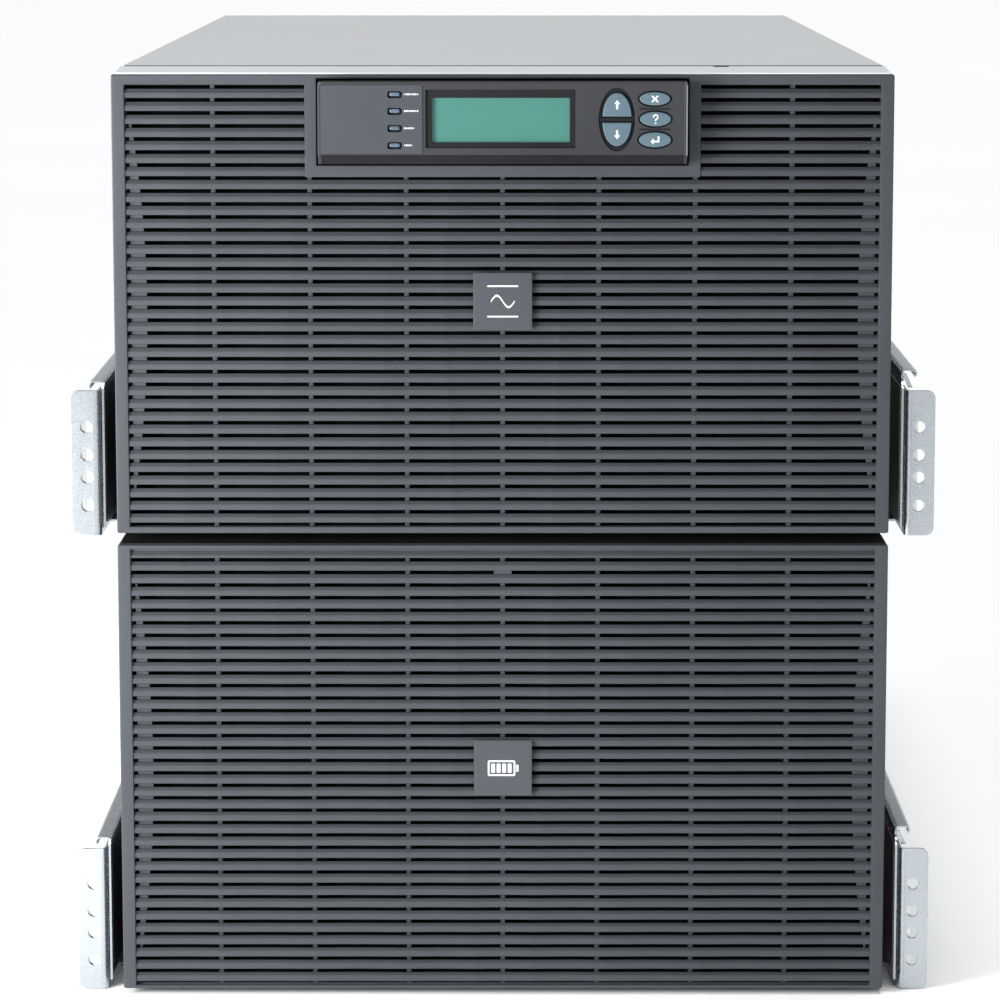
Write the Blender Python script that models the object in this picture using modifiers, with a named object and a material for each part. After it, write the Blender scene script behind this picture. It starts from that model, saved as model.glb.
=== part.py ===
"""Rackmount uninterruptible power supply: a power unit stacked on its battery pack, each on its own pair of
telescoping rack rails. Metres, +Z up. The origin is the middle of the footprint at the lowest point, +X is the
right-hand side for someone facing the front, and +Y runs to the rear."""

import math

import bmesh
import bpy
from mathutils import Matrix, Vector

# ---------------------------------------------------------------- driving dimensions

RACK_WIDTH = 0.4826          # across the mounting flanges, the 19 inch standard
RACK_HOLE_SPAN = 0.4651      # between the left and right columns of rack holes

UNIT_PITCH = 0.2620          # from one unit's base to the next one's
CHASSIS_WIDTH = 0.4260
CHASSIS_HEIGHT = 0.2598
FRONT_Y = -0.3865            # front face of both bezels
REAR_Y = 0.3865              # rear face of both chassis
SHEET = 0.0012               # steel sheet of the chassis
GAP = 0.0004                 # between pieces that touch
PLAY = 0.0003                # round a piece that moves in a hole

LEDGE = 0.0015               # rail sheet, and so the height of the chassis over the resting surface
PACK_Z = LEDGE + PLAY
UPS_Z = PACK_Z + UNIT_PITCH

BEZEL_WIDTH = 0.4300
BEZEL_HEIGHT = 0.2553
BEZEL_LIFT = 0.0012          # bezel's lower edge over the chassis base
BEZEL_DEPTH = 0.0340
BEZEL_WALL = 0.0025
GRILLE_SETBACK = 0.0008      # slats behind the frame's face
GRILLE_PLATE = 0.0040
SIDE_BORDER = 0.0072         # plain frame beside the slots
SLOT_COUNT = 35
SLOT_PITCH = 0.00717
SLOT_HEIGHT = 0.0021
TOP_SLOT = {"upper": 0.0068, "lower": 0.0086}   # first slot's middle under the bezel's top edge
RIB_PITCH = 0.0532
RIB_WIDTH = 0.0025
RIB_DEPTH = 0.0080

DISPLAY_WIDTH = 0.2020
DISPLAY_HEIGHT = 0.0450
DISPLAY_PROUD = 0.0135       # display face in front of the bezel
KEY_PROUD = 0.0012           # keys in front of the display face
REAR_PROUD = DISPLAY_PROUD + KEY_PROUD
DISPLAY_DROP = 0.0035        # top of the display under the bezel's top edge
DISPLAY_WALL = 0.0022
DISPLAY_SURROUND = 0.0065    # plain strip of bezel beside and below the display
DISPLAY_CLEAR = 0.0014       # gap between the display and its opening

BADGE_WIDTH = 0.0325
BADGE_HEIGHT = 0.0318
BADGE_THICKNESS = 0.0010
BADGE_DROP = {"upper": 0.1250, "lower": 0.1270}  # badge's middle under the bezel's top edge

COVER_LIP = 0.0150           # cover's turned-down side lips
LIP_SHEET = 0.0010
HOOD_LENGTH = 0.0327
HOOD_DROP = 0.0019           # hood's front edge under the cover's top
HOOD_TIP = 0.0008            # hood's thickness at its front edge

RAIL_SETBACK = 0.0100        # rack flange behind the bezel face
RAIL_HEIGHT = 0.0820
RAIL_FRONT_LENGTH = 0.4700
RAIL_WEB_X = 0.2262          # outer face of the front section's web
RAIL_LEDGE_X = 0.2040        # inner edge of the ledge that carries the chassis
RAIL_LEDGE_START = 0.0450    # ledge's front end behind the flange
RAIL_FLANGE = 0.0020         # thickness of both rack flanges
RAIL_NOSE = 0.0060           # rear section's front end behind the flange
RAIL_LIP = 0.0090            # width of the rear section's top lip
LIP_RISE_LEFT = 0.0025       # lip over the flange's top, left and right rails
LIP_RISE_RIGHT = 0.0090
RACK_HOLE_RADIUS = 0.0033
RACK_HOLES = (0.0169, 0.0169 + 0.015875, 0.0169 + 0.015875 + 0.0127, 0.0169 + 2 * 0.015875 + 0.0127)

FAN_SIZE = 0.1200
FAN_DEPTH = 0.0380
FAN_X = (-0.1290, 0.0, 0.1290)
FAN_Z = 0.1180               # fan centres over the unit's base
FAN_WALL = 0.0030            # between the duct and the frame's flats
FAN_HUB_RADIUS = 0.0210
FAN_BLADES = 7
FAN_BLADE_SIZE = (0.0018, 0.0267, 0.0360)   # thickness, depth along the axis, length outwards
FAN_BLADE_TWIST = 32         # degrees

FIN_COUNT = 9
FIN_THICKNESS = 0.0030
SINK_SIZE = (0.1700, 0.3400, 0.0720)        # across, along and up
SINK_BASE = 0.0080
SINK_PLACE = (0.1000, -0.0900)              # middle, out from the unit's middle and along Y
BOARD_SHEET = 0.0020
CAN_RADIUS = 0.0175
CAN_HEIGHT = 0.0560
CAN_PITCH = (0.0460, 0.0640)
CAN_FIRST = (0.0050, -0.2050)
CHOKE_RADIUS = 0.0560
CHOKE_BORE_RADIUS = 0.0220
CHOKE_HEIGHT = 0.0600
CHOKE_PLACE = (0.0950, 0.0550)

# The rear panels: x and z ranges over each unit's base.
GRILLE_COLUMNS = ((-0.1950, -0.1050), (-0.0950, -0.0050))
GRILLE_ROWS = 9
GRILLE_FOOT = 0.1500
GRILLE_PITCH = 0.0100
GRILLE_HEIGHT = 0.0050
PANEL_CLEAR = 0.0005         # round a fitting in its panel opening
CONNECTOR_X = (0.1290, 0.1910)
CONNECTOR_HEIGHT = 0.0420
CONNECTOR_WAY = (0.0240, 0.0320)
CONNECTOR_PITCH = 0.0280
INLET_FOOT = 0.0240
OUTLET_FOOT = 0.1940
BREAKER_SIZE = (0.0540, 0.0640)
BREAKER_WELL = (0.0240, 0.0260)
BREAKER_LEAN = 20            # degrees the lever points up at rest
INPUT_BREAKER = (0.1175, 0.1425)
PACK_BREAKER = (0.0675, 0.2145)
BYPASS = (0.0380, 0.1450)
BYPASS_RADIUS = 0.0180
BYPASS_SHAFT_RADIUS = 0.0042
TERMINALS_X = (-0.1700, 0.0100)
TERMINALS_Z = (0.0400, 0.0800)
TERMINAL_BAYS = 5
TERMINAL_PITCH = 0.0352
TERMINAL_COVER_X = (-0.1900, 0.0300)
TERMINAL_COVER_Z = (0.0180, 0.1000)
CARD_X = (0.0290, 0.1510)
CARD_Z = 0.2050
CARD_DEPTH = 0.1500
CARD_BRACKET_X = (0.0200, 0.1600)
CARD_BRACKET_Z = (0.1940, 0.2460)
CARD_SOCKETS_X = ((0.0450, 0.0620), (0.0750, 0.0920))
CARD_SOCKET_Z = (0.2060, 0.2200)

SHELF_Z = 0.1290
SHELF_SHORT = 0.0500         # shelf's rear edge in front of the rear panel
MODULE_SIZE = (0.2030, 0.5800, 0.1180)
MODULE_RECESS = (0.1300, 0.0240, 0.0500)
MODULE_BAR = (0.1320, 0.0080, 0.0140)

CHASSIS_FRONT_Y = FRONT_Y + BEZEL_DEPTH + 0.0020
INNER_X = CHASSIS_WIDTH / 2 - LIP_SHEET - PLAY - SHEET

# ---------------------------------------------------------------- materials: colour, roughness, metallic

MATERIALS = {
    "cover_paint": ((0.62, 0.62, 0.63), 0.45, 0.1),
    "chassis_steel": ((0.50, 0.51, 0.52), 0.40, 0.8),
    "bezel_plastic": ((0.075, 0.079, 0.088), 0.45, 0.0),
    "display_plastic": ((0.055, 0.056, 0.062), 0.50, 0.0),
    "faceplate": ((0.125, 0.130, 0.145), 0.40, 0.2),
    "badge": ((0.115, 0.122, 0.135), 0.40, 0.1),
    "lcd": ((0.10, 0.38, 0.32), 0.25, 0.0),
    "light_pipe": ((0.20, 0.27, 0.36), 0.30, 0.0),
    "key_plastic": ((0.22, 0.33, 0.40), 0.45, 0.0),
    "circuit_board": ((0.03, 0.16, 0.07), 0.50, 0.0),
    "fan_plastic": ((0.02, 0.02, 0.02), 0.50, 0.0),
    "heatsink": ((0.60, 0.61, 0.62), 0.35, 1.0),
    "capacitor": ((0.04, 0.05, 0.12), 0.40, 0.0),
    "winding": ((0.45, 0.20, 0.08), 0.40, 0.6),
    "switch_plastic": ((0.03, 0.03, 0.035), 0.45, 0.0),
    "terminal": ((0.10, 0.10, 0.11), 0.45, 0.0),
    "connector": ((0.12, 0.12, 0.13), 0.50, 0.0),
    "zinc_rail": ((0.66, 0.68, 0.70), 0.32, 0.9),
    "battery_case": ((0.035, 0.035, 0.040), 0.55, 0.0),
}


def material(name):
    """The Principled material of this name, made on its first use."""
    found = bpy.data.materials.get(name)
    if found:
        return found
    colour, roughness, metallic = MATERIALS[name]
    made = bpy.data.materials.new(name)
    made.use_nodes = True
    shader = made.node_tree.nodes["Principled BSDF"]
    shader.inputs["Base Color"].default_value = (*colour, 1.0)
    shader.inputs["Roughness"].default_value = roughness
    shader.inputs["Metallic"].default_value = metallic
    made.diffuse_color = (*colour, 1.0)
    return made


# ---------------------------------------------------------------- modelling helpers

for old in list(bpy.data.objects):
    bpy.data.objects.remove(old, do_unlink=True)

PARTS = bpy.data.collections.new("rackmount_ups")
CUTTERS = bpy.data.collections.new("cutters")
bpy.context.scene.collection.children.link(PARTS)
bpy.context.scene.collection.children.link(CUTTERS)


def empty(name, location):
    """A plain axis that an assembly or a moving piece hangs on."""
    made = bpy.data.objects.new(name, None)
    made.location = location
    PARTS.objects.link(made)
    return made


def add_object(name, mesh, centre, parent, colour, round_sides=False):
    """Puts a mesh in the parts collection, at a place in its parent's frame."""
    made = bpy.data.objects.new(name, mesh)
    PARTS.objects.link(made)
    made.location = centre
    made.parent = parent
    if colour:
        mesh.materials.append(material(colour))
    if round_sides:
        mesh.shade_smooth()
        mesh.set_sharp_from_angle(angle=math.radians(35))
    return made


def mesh_from(bm, name):
    """Turns a bmesh into a mesh with its faces pointing out."""
    bmesh.ops.recalc_face_normals(bm, faces=bm.faces)
    mesh = bpy.data.meshes.new(name)
    bm.to_mesh(mesh)
    bm.free()
    return mesh


def block(name, size, centre, parent=None, colour=None, bevel=0.0):
    """A box of this size round its centre, with its upright and level edges rounded when bevel is given."""
    bm = bmesh.new()
    bmesh.ops.create_cube(bm, size=1.0, matrix=Matrix.Diagonal((*size, 1.0)))
    made = add_object(name, mesh_from(bm, name), centre, parent, colour)
    if bevel:
        rounding = made.modifiers.new("edge_round", "BEVEL")
        rounding.width = bevel
        rounding.segments = 1
    return made


def span_block(name, low, high, parent=None, colour=None, bevel=0.0):
    """A box between two corners."""
    low, high = Vector(low), Vector(high)
    return block(name, high - low, (low + high) / 2, parent, colour, bevel)


def rod(name, radius, length, centre, axis, parent=None, colour=None, sides=16, tip_radius=None):
    """A cylinder or cone round its centre, along x, y or z."""
    bm = bmesh.new()
    bmesh.ops.create_cone(
        bm,
        cap_ends=True,
        segments=sides,
        radius1=radius,
        radius2=radius if tip_radius is None else tip_radius,
        depth=length,
        matrix=Vector((0, 0, 1)).rotation_difference(Vector(axis)).to_matrix().to_4x4(),
    )
    return add_object(name, mesh_from(bm, name), centre, parent, colour, round_sides=True)


def plate(name, outline, thickness, centre, turn=(0.0, 0.0, 0.0), parent=None, colour=None):
    """A flat outline given as (x, y) points, filled and thickened evenly both ways, then turned."""
    curve = bpy.data.curves.new(name, "CURVE")
    curve.dimensions = "2D"
    curve.fill_mode = "BOTH"
    curve.extrude = thickness / 2
    line = curve.splines.new("POLY")
    line.points.add(len(outline) - 1)
    for point, (x, y) in zip(line.points, outline):
        point.co = (x, y, 0.0, 1.0)
    line.use_cyclic_u = True
    guide = bpy.data.objects.new(name + "_outline", curve)
    PARTS.objects.link(guide)
    seen = guide.evaluated_get(bpy.context.evaluated_depsgraph_get())
    mesh = bpy.data.meshes.new_from_object(seen)
    bpy.data.objects.remove(guide, do_unlink=True)
    bm = bmesh.new()
    bm.from_mesh(mesh)
    bpy.data.meshes.remove(mesh)
    bmesh.ops.remove_doubles(bm, verts=bm.verts, dist=1e-6)
    made = add_object(name, mesh_from(bm, name), centre, parent, colour)
    made.rotation_euler = turn
    return made


ACROSS_X = (math.pi / 2, 0.0, math.pi / 2)   # outline x runs along +Y, outline y along +Z, thickness along X
ALONG_Y = (math.pi / 2, 0.0, 0.0)            # outline x runs along +X, outline y along +Z, thickness along Y


def oval(width, height, sides=16):
    """The outline of an ellipse."""
    angles = [2 * math.pi * i / sides for i in range(sides)]
    return [(width / 2 * math.cos(a), height / 2 * math.sin(a)) for a in angles]


def half_oval(width, height, up, sides=10):
    """The outline of an ellipse's upper or lower half, centred on its height."""
    angles = [math.pi * i / sides for i in range(sides + 1)]
    points = [(width / 2 * math.cos(a), height * math.sin(a) - height / 2) for a in angles]
    return points if up else [(x, -z) for x, z in points]


def combine(target, operation, tools):
    """Leaves a Boolean on the target for each tool, and puts the tools away as cutters."""
    for tool in tools:
        modifier = target.modifiers.new(tool.name, "BOOLEAN")
        modifier.operation = operation
        modifier.object = tool
        tool.hide_render = True
        tool.display_type = "WIRE"
        PARTS.objects.unlink(tool)
        CUTTERS.objects.link(tool)
    return target


def cut(target, *tools):
    return combine(target, "DIFFERENCE", tools)


def join(target, *tools):
    return combine(target, "UNION", tools)


def many_blocks(name, corners, parent=None):
    """One mesh of separate boxes, each between two corners, for use as a cutter."""
    bm = bmesh.new()
    for low, high in corners:
        low, high = Vector(low), Vector(high)
        place = Matrix.Translation((low + high) / 2) @ Matrix.Diagonal((*(high - low), 1.0))
        bmesh.ops.create_cube(bm, size=1.0, matrix=place)
    return add_object(name, mesh_from(bm, name), (0, 0, 0), parent, None)


def many_rods(name, places, radius, length, axis, parent=None, sides=12):
    """One mesh of separate cylinders, for use as a cutter."""
    bm = bmesh.new()
    turn = Vector((0, 0, 1)).rotation_difference(Vector(axis)).to_matrix().to_4x4()
    for place in places:
        bmesh.ops.create_cone(
            bm,
            cap_ends=True,
            segments=sides,
            radius1=radius,
            radius2=radius,
            depth=length,
            matrix=Matrix.Translation(place) @ turn,
        )
    return add_object(name, mesh_from(bm, name), (0, 0, 0), parent, None)


# ---------------------------------------------------------------- chassis shells


def chassis_tray(name, unit):
    """Folded sheet: a floor and two side walls, open to the front, the rear and the top."""
    outer_x = CHASSIS_WIDTH / 2 - LIP_SHEET - PLAY
    top = CHASSIS_HEIGHT - SHEET - PLAY
    low = (-outer_x, CHASSIS_FRONT_Y, 0.0)
    high = (outer_x, REAR_Y - SHEET - PLAY, top)
    tray = span_block(name, low, high, unit, "chassis_steel")
    hollow = span_block(
        name + "_hollow",
        (-outer_x + SHEET, CHASSIS_FRONT_Y - 0.01, SHEET),
        (outer_x - SHEET, REAR_Y + 0.01, top + 0.01),
        unit,
    )
    return cut(tray, hollow)


def top_cover(name, unit):
    """Cover with short side lips and a sloping hood that reaches forward over the bezel."""
    half = CHASSIS_WIDTH / 2
    hood_front = FRONT_Y + 2 * GAP
    hood_back = hood_front + HOOD_LENGTH
    outline = [
        (hood_front, CHASSIS_HEIGHT - HOOD_DROP),
        (hood_back, CHASSIS_HEIGHT),
        (REAR_Y, CHASSIS_HEIGHT),
        (REAR_Y, CHASSIS_HEIGHT - SHEET),
        (hood_back, CHASSIS_HEIGHT - SHEET),
        (hood_front, CHASSIS_HEIGHT - HOOD_DROP - HOOD_TIP),
    ]
    cover = plate(name, outline, CHASSIS_WIDTH, (0, 0, 0), ACROSS_X, unit, "cover_paint")
    lips = []
    for side, word in ((-1, "left"), (1, "right")):
        inner, outer = sorted((side * half, side * (half - LIP_SHEET)))
        low = (inner, CHASSIS_FRONT_Y, CHASSIS_HEIGHT - COVER_LIP)
        high = (outer, REAR_Y, CHASSIS_HEIGHT - SHEET / 2)
        lips.append(span_block(f"{name}_lip_{word}", low, high, unit))
    return join(cover, *lips)


def rear_panel(name, unit, openings):
    """Rear sheet of a unit, with its openings cut through."""
    half = CHASSIS_WIDTH / 2 - LIP_SHEET - PLAY
    panel = span_block(
        name,
        (-half, REAR_Y - SHEET, PLAY),
        (half, REAR_Y, CHASSIS_HEIGHT - SHEET - PLAY),
        unit,
        "cover_paint",
    )
    return cut(panel, *openings)


# ---------------------------------------------------------------- bezels


def slot_rows(which, display_half=0.0, display_foot=0.0):
    """The low and high corners of every ventilation slot, split left and right where the display sits."""
    half = BEZEL_WIDTH / 2 - SIDE_BORDER
    top = BEZEL_LIFT + BEZEL_HEIGHT - TOP_SLOT[which]
    front, back = FRONT_Y - 0.001, FRONT_Y + GRILLE_SETBACK + GRILLE_PLATE + 0.001
    for row in range(SLOT_COUNT):
        middle = top - row * SLOT_PITCH
        low_z, high_z = middle - SLOT_HEIGHT / 2, middle + SLOT_HEIGHT / 2
        spans = [(-half, half)]
        if high_z > display_foot > 0.0:
            spans = [(-half, -display_half), (display_half, half)]
        for left, right in spans:
            yield (left, front, low_z), (right, back, high_z)


def bezel(name, which, unit):
    """Moulded front: a frame with a skirt, a slotted plate and seven upright ribs just behind its slats."""
    half = BEZEL_WIDTH / 2
    low, high = BEZEL_LIFT, BEZEL_LIFT + BEZEL_HEIGHT
    plate_back = FRONT_Y + GRILLE_SETBACK + GRILLE_PLATE
    body = span_block(name, (-half, FRONT_Y, low), (half, FRONT_Y + BEZEL_DEPTH, high), unit, "bezel_plastic")
    hollow = span_block(
        name + "_hollow",
        (-half + BEZEL_WALL, plate_back, low + BEZEL_WALL),
        (half - BEZEL_WALL, FRONT_Y + BEZEL_DEPTH + 0.01, high - BEZEL_WALL),
        unit,
    )
    cutters = [hollow]
    if which == "upper":
        display_top = high - DISPLAY_DROP
        display_foot = display_top - DISPLAY_HEIGHT
        clear = DISPLAY_WIDTH / 2 + DISPLAY_CLEAR
        cutters.append(
            span_block(
                name + "_display_opening",
                (-clear, FRONT_Y - 0.01, display_foot - DISPLAY_CLEAR),
                (clear, plate_back + 0.01, display_top + DISPLAY_CLEAR),
                unit,
            )
        )
        foot = display_foot - DISPLAY_CLEAR - DISPLAY_SURROUND
        rows = slot_rows(which, clear + DISPLAY_SURROUND, foot)
    else:
        rows = slot_rows(which)
    cutters.append(many_blocks(name + "_slots", rows, unit))
    cut(body, *cutters)
    ribs = []
    for step in range(-3, 4):
        x = step * RIB_PITCH
        rib_top = high - BEZEL_WALL / 2
        if which == "upper" and abs(x) < DISPLAY_WIDTH / 2 + DISPLAY_SURROUND:
            rib_top = high - DISPLAY_DROP - DISPLAY_HEIGHT - DISPLAY_CLEAR - DISPLAY_SURROUND / 2
        rib = span_block(
            f"{name}_rib_{step + 4}",
            (x - RIB_WIDTH / 2, plate_back + GAP, low + BEZEL_WALL / 2),
            (x + RIB_WIDTH / 2, plate_back + GAP + RIB_DEPTH, rib_top),
            unit,
        )
        ribs.append(rib)
        if rib_top < high - BEZEL_WALL:
            low_corner = (x - RIB_WIDTH / 2, plate_back - 0.001, rib_top - 0.0020)
            high_corner = (x + RIB_WIDTH / 2, plate_back + GAP + 0.001, rib_top)
            ribs.append(span_block(f"{name}_rib_foot_{step + 4}", low_corner, high_corner, unit))
    return join(body, *ribs)


def badge(name, which, unit):
    """Blank plate clipped over the middle of the slats."""
    middle = BEZEL_LIFT + BEZEL_HEIGHT - BADGE_DROP[which]
    size = (BADGE_WIDTH, BADGE_THICKNESS, BADGE_HEIGHT)
    return block(name, size, (0.0, FRONT_Y - PLAY - BADGE_THICKNESS / 2, middle), unit, "badge")


# ---------------------------------------------------------------- display module

# Places on the display's face: x from its middle, and drop from its top edge.
FACEPLATE = {"x": (-0.1000, -0.0435), "drop": (0.0012, 0.0392)}
LCD = {"x": (-0.0420, 0.0398), "drop": (0.0040, 0.0358)}
LED_X = (-0.0625, -0.0553)
LED_DROPS = (0.0065, 0.0156, 0.0250, 0.0343)
LED_HEIGHT = 0.0030
KEYS = {
    "key_up": {"x": 0.0624, "drop": 0.0122, "size": (0.0158, 0.0130)},
    "key_down": {"x": 0.0624, "drop": 0.0284, "size": (0.0158, 0.0130)},
    "key_escape": {"x": 0.0830, "drop": 0.0090, "size": (0.0168, 0.0073)},
    "key_help": {"x": 0.0834, "drop": 0.0200, "size": (0.0170, 0.0080)},
    "key_enter": {"x": 0.0832, "drop": 0.0313, "size": (0.0176, 0.0083)},
}
KEY_LENGTH = 0.0050
DISPLAY_FRONT_Y = FRONT_Y - DISPLAY_PROUD
DISPLAY_BACK_Y = CHASSIS_FRONT_Y - GAP - SHEET - GAP
DISPLAY_TOP_Z = BEZEL_LIFT + BEZEL_HEIGHT - DISPLAY_DROP


def key_outline(name, width, height):
    """The two cursor keys are the halves of one upright ellipse, and the others are whole ovals."""
    if name in ("key_up", "key_down"):
        return half_oval(width, height, up=name == "key_up")
    return oval(width, height)


def display_module(unit):
    """Housing open at the back, with a faceplate, liquid-crystal window, light pipe, five keys and a board."""
    half = DISPLAY_WIDTH / 2
    foot = DISPLAY_TOP_Z - DISPLAY_HEIGHT
    chamfer = 0.0050
    side = [
        (DISPLAY_FRONT_Y, foot + chamfer),
        (DISPLAY_FRONT_Y + chamfer, foot),
        (DISPLAY_BACK_Y, foot),
        (DISPLAY_BACK_Y, DISPLAY_TOP_Z),
        (DISPLAY_FRONT_Y + 0.0020, DISPLAY_TOP_Z),
        (DISPLAY_FRONT_Y, DISPLAY_TOP_Z - 0.0020),
    ]
    housing = plate("display_housing", side, DISPLAY_WIDTH, (0, 0, 0), ACROSS_X, unit, "display_plastic")
    front_wall = 0.0030
    hollow = span_block(
        "display_hollow",
        (-half + DISPLAY_WALL, DISPLAY_FRONT_Y + front_wall, foot + chamfer * 0.7),
        (half - DISPLAY_WALL, DISPLAY_BACK_Y + 0.01, DISPLAY_TOP_Z - DISPLAY_WALL),
        unit,
    )
    recesses = [
        span_block(
            "faceplate_recess",
            (FACEPLATE["x"][0], DISPLAY_FRONT_Y - 0.01, DISPLAY_TOP_Z - FACEPLATE["drop"][1]),
            (FACEPLATE["x"][1], DISPLAY_FRONT_Y + 0.0010, DISPLAY_TOP_Z - FACEPLATE["drop"][0]),
            unit,
        ),
        span_block(
            "lcd_opening",
            (LCD["x"][0], DISPLAY_FRONT_Y - 0.01, DISPLAY_TOP_Z - LCD["drop"][1]),
            (LCD["x"][1], DISPLAY_FRONT_Y + 0.02, DISPLAY_TOP_Z - LCD["drop"][0]),
            unit,
        ),
        span_block(
            "light_pipe_opening",
            (LED_X[0] - 0.001, DISPLAY_FRONT_Y - 0.01, DISPLAY_TOP_Z - LED_DROPS[-1] - 0.003),
            (LED_X[1] + 0.001, DISPLAY_FRONT_Y + 0.02, DISPLAY_TOP_Z - LED_DROPS[0] + 0.003),
            unit,
        ),
    ]
    for name, key in KEYS.items():
        width, height = key["size"]
        outline = key_outline(name, width, height)
        opening = key_outline(name, width + 3 * PLAY, height + 3 * PLAY)
        place = (key["x"], DISPLAY_FRONT_Y, DISPLAY_TOP_Z - key["drop"])
        recesses.append(plate(name + "_opening", opening, 0.020, place, ALONG_Y, unit))
        rest = (key["x"], DISPLAY_FRONT_Y - KEY_PROUD + KEY_LENGTH / 2, place[2])
        plate(name, outline, KEY_LENGTH, rest, ALONG_Y, unit, "key_plastic")
    cut(housing, hollow, *recesses)

    edge = PLAY
    faceplate = span_block(
        "display_faceplate",
        (FACEPLATE["x"][0] + edge, DISPLAY_FRONT_Y - 0.0004, DISPLAY_TOP_Z - FACEPLATE["drop"][1] + edge),
        (FACEPLATE["x"][1] - edge, DISPLAY_FRONT_Y + 0.0007, DISPLAY_TOP_Z - FACEPLATE["drop"][0] - edge),
        unit,
        "faceplate",
    )
    windows = [
        (
            (LED_X[0], DISPLAY_FRONT_Y - 0.01, DISPLAY_TOP_Z - drop - LED_HEIGHT / 2),
            (LED_X[1], DISPLAY_FRONT_Y + 0.02, DISPLAY_TOP_Z - drop + LED_HEIGHT / 2),
        )
        for drop in LED_DROPS
    ]
    cut(faceplate, many_blocks("led_windows", windows, unit))
    pipe = span_block(
        "led_light_pipe",
        (LED_X[0] - 0.001 + PLAY, DISPLAY_FRONT_Y + 0.0011, DISPLAY_TOP_Z - LED_DROPS[-1] - 0.003 + PLAY),
        (LED_X[1] + 0.001 - PLAY, DISPLAY_FRONT_Y + 0.0060, DISPLAY_TOP_Z - LED_DROPS[0] + 0.003 - PLAY),
        unit,
        "light_pipe",
    )
    lenses = [
        span_block(
            f"led_lens_{index + 1}",
            (LED_X[0] + PLAY, DISPLAY_FRONT_Y - 0.0008, DISPLAY_TOP_Z - drop - LED_HEIGHT / 2 + PLAY),
            (LED_X[1] - PLAY, DISPLAY_FRONT_Y + 0.0030, DISPLAY_TOP_Z - drop + LED_HEIGHT / 2 - PLAY),
            unit,
        )
        for index, drop in enumerate(LED_DROPS)
    ]
    join(pipe, *lenses)
    span_block(
        "lcd_window",
        (LCD["x"][0] + PLAY, DISPLAY_FRONT_Y + 0.0004, DISPLAY_TOP_Z - LCD["drop"][1] + PLAY),
        (LCD["x"][1] - PLAY, DISPLAY_FRONT_Y + 0.0054, DISPLAY_TOP_Z - LCD["drop"][0] - PLAY),
        unit,
        "lcd",
    )
    span_block(
        "display_board",
        (-half + DISPLAY_WALL + 0.002, DISPLAY_FRONT_Y + 0.0080, foot + chamfer),
        (half - DISPLAY_WALL - 0.002, DISPLAY_FRONT_Y + 0.0096, DISPLAY_TOP_Z - DISPLAY_WALL - 0.002),
        unit,
        "circuit_board",
    )


# ---------------------------------------------------------------- cooling fans


def fan(index, unit):
    """Axial fan: a square frame with a round duct, and a bladed rotor on the duct's axis."""
    centre = Vector((FAN_X[index], CHASSIS_FRONT_Y + SHEET + PLAY + GAP + FAN_DEPTH / 2, FAN_Z))
    number = index + 1
    frame = block(f"fan_frame_{number}", (FAN_SIZE, FAN_DEPTH, FAN_SIZE), centre, unit, "fan_plastic")
    duct = rod(f"fan_duct_{number}", FAN_SIZE / 2 - FAN_WALL, FAN_DEPTH * 2, centre, (0, 1, 0), unit, sides=32)
    cut(frame, duct)
    seat_depth = 0.0040
    seat_y = centre.y + FAN_DEPTH / 2 - seat_depth / 2
    seat = (centre.x, seat_y, centre.z)
    hub_seat = rod(f"fan_seat_{number}", 0.0190, seat_depth, seat, (0, 1, 0), unit)
    strut = FAN_SIZE - seat_depth
    across = block(f"fan_strut_{number}_across", (strut, 0.0030, seat_depth), seat, unit)
    upright = block(f"fan_strut_{number}_upright", (seat_depth, 0.0030, strut), seat, unit)
    join(frame, hub_seat, across, upright)

    hub_length = FAN_DEPTH - seat_depth - 0.0030
    hub_y = centre.y - FAN_DEPTH / 2 + 0.0015 + hub_length / 2
    hub = Vector((centre.x, hub_y, centre.z))
    rotor = rod(f"fan_rotor_{number}", FAN_HUB_RADIUS, hub_length, hub, (0, 1, 0), unit, "fan_plastic", 21)
    blades = []
    for blade in range(FAN_BLADES):
        angle = 2 * math.pi * blade / FAN_BLADES
        made = block(f"fan_blade_{number}_{blade + 1}", FAN_BLADE_SIZE, (0, 0, 0), unit)
        made.location = hub + Vector((math.sin(angle), 0.0, math.cos(angle))) * FAN_BLADE_SIZE[2]
        made.rotation_mode = "QUATERNION"
        swing = Matrix.Rotation(angle, 4, "Y") @ Matrix.Rotation(math.radians(FAN_BLADE_TWIST), 4, "Z")
        made.rotation_quaternion = swing.to_quaternion()
        blades.append(made)
    join(rotor, *blades)


# ---------------------------------------------------------------- power unit


def power_unit():
    unit = empty("power_unit", (0, 0, UPS_Z))
    chassis_tray("ups_chassis_tray", unit)
    top_cover("ups_top_cover", unit)

    half = INNER_X - PLAY
    frame = span_block(
        "ups_front_frame",
        (-half, CHASSIS_FRONT_Y, SHEET + PLAY),
        (half, CHASSIS_FRONT_Y + SHEET, CHASSIS_HEIGHT - SHEET - 2 * PLAY),
        unit,
        "chassis_steel",
    )
    inlets = [(x, CHASSIS_FRONT_Y, FAN_Z) for x in FAN_X]
    cut(frame, many_rods("fan_inlets", inlets, FAN_SIZE / 2 - 0.004, 0.010, (0, 1, 0), unit, 24))

    bezel("upper_bezel", "upper", unit)
    badge("upper_badge", "upper", unit)
    display_module(unit)
    for index in range(3):
        fan(index, unit)
    power_stage(unit)
    ups_rear(unit)


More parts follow.
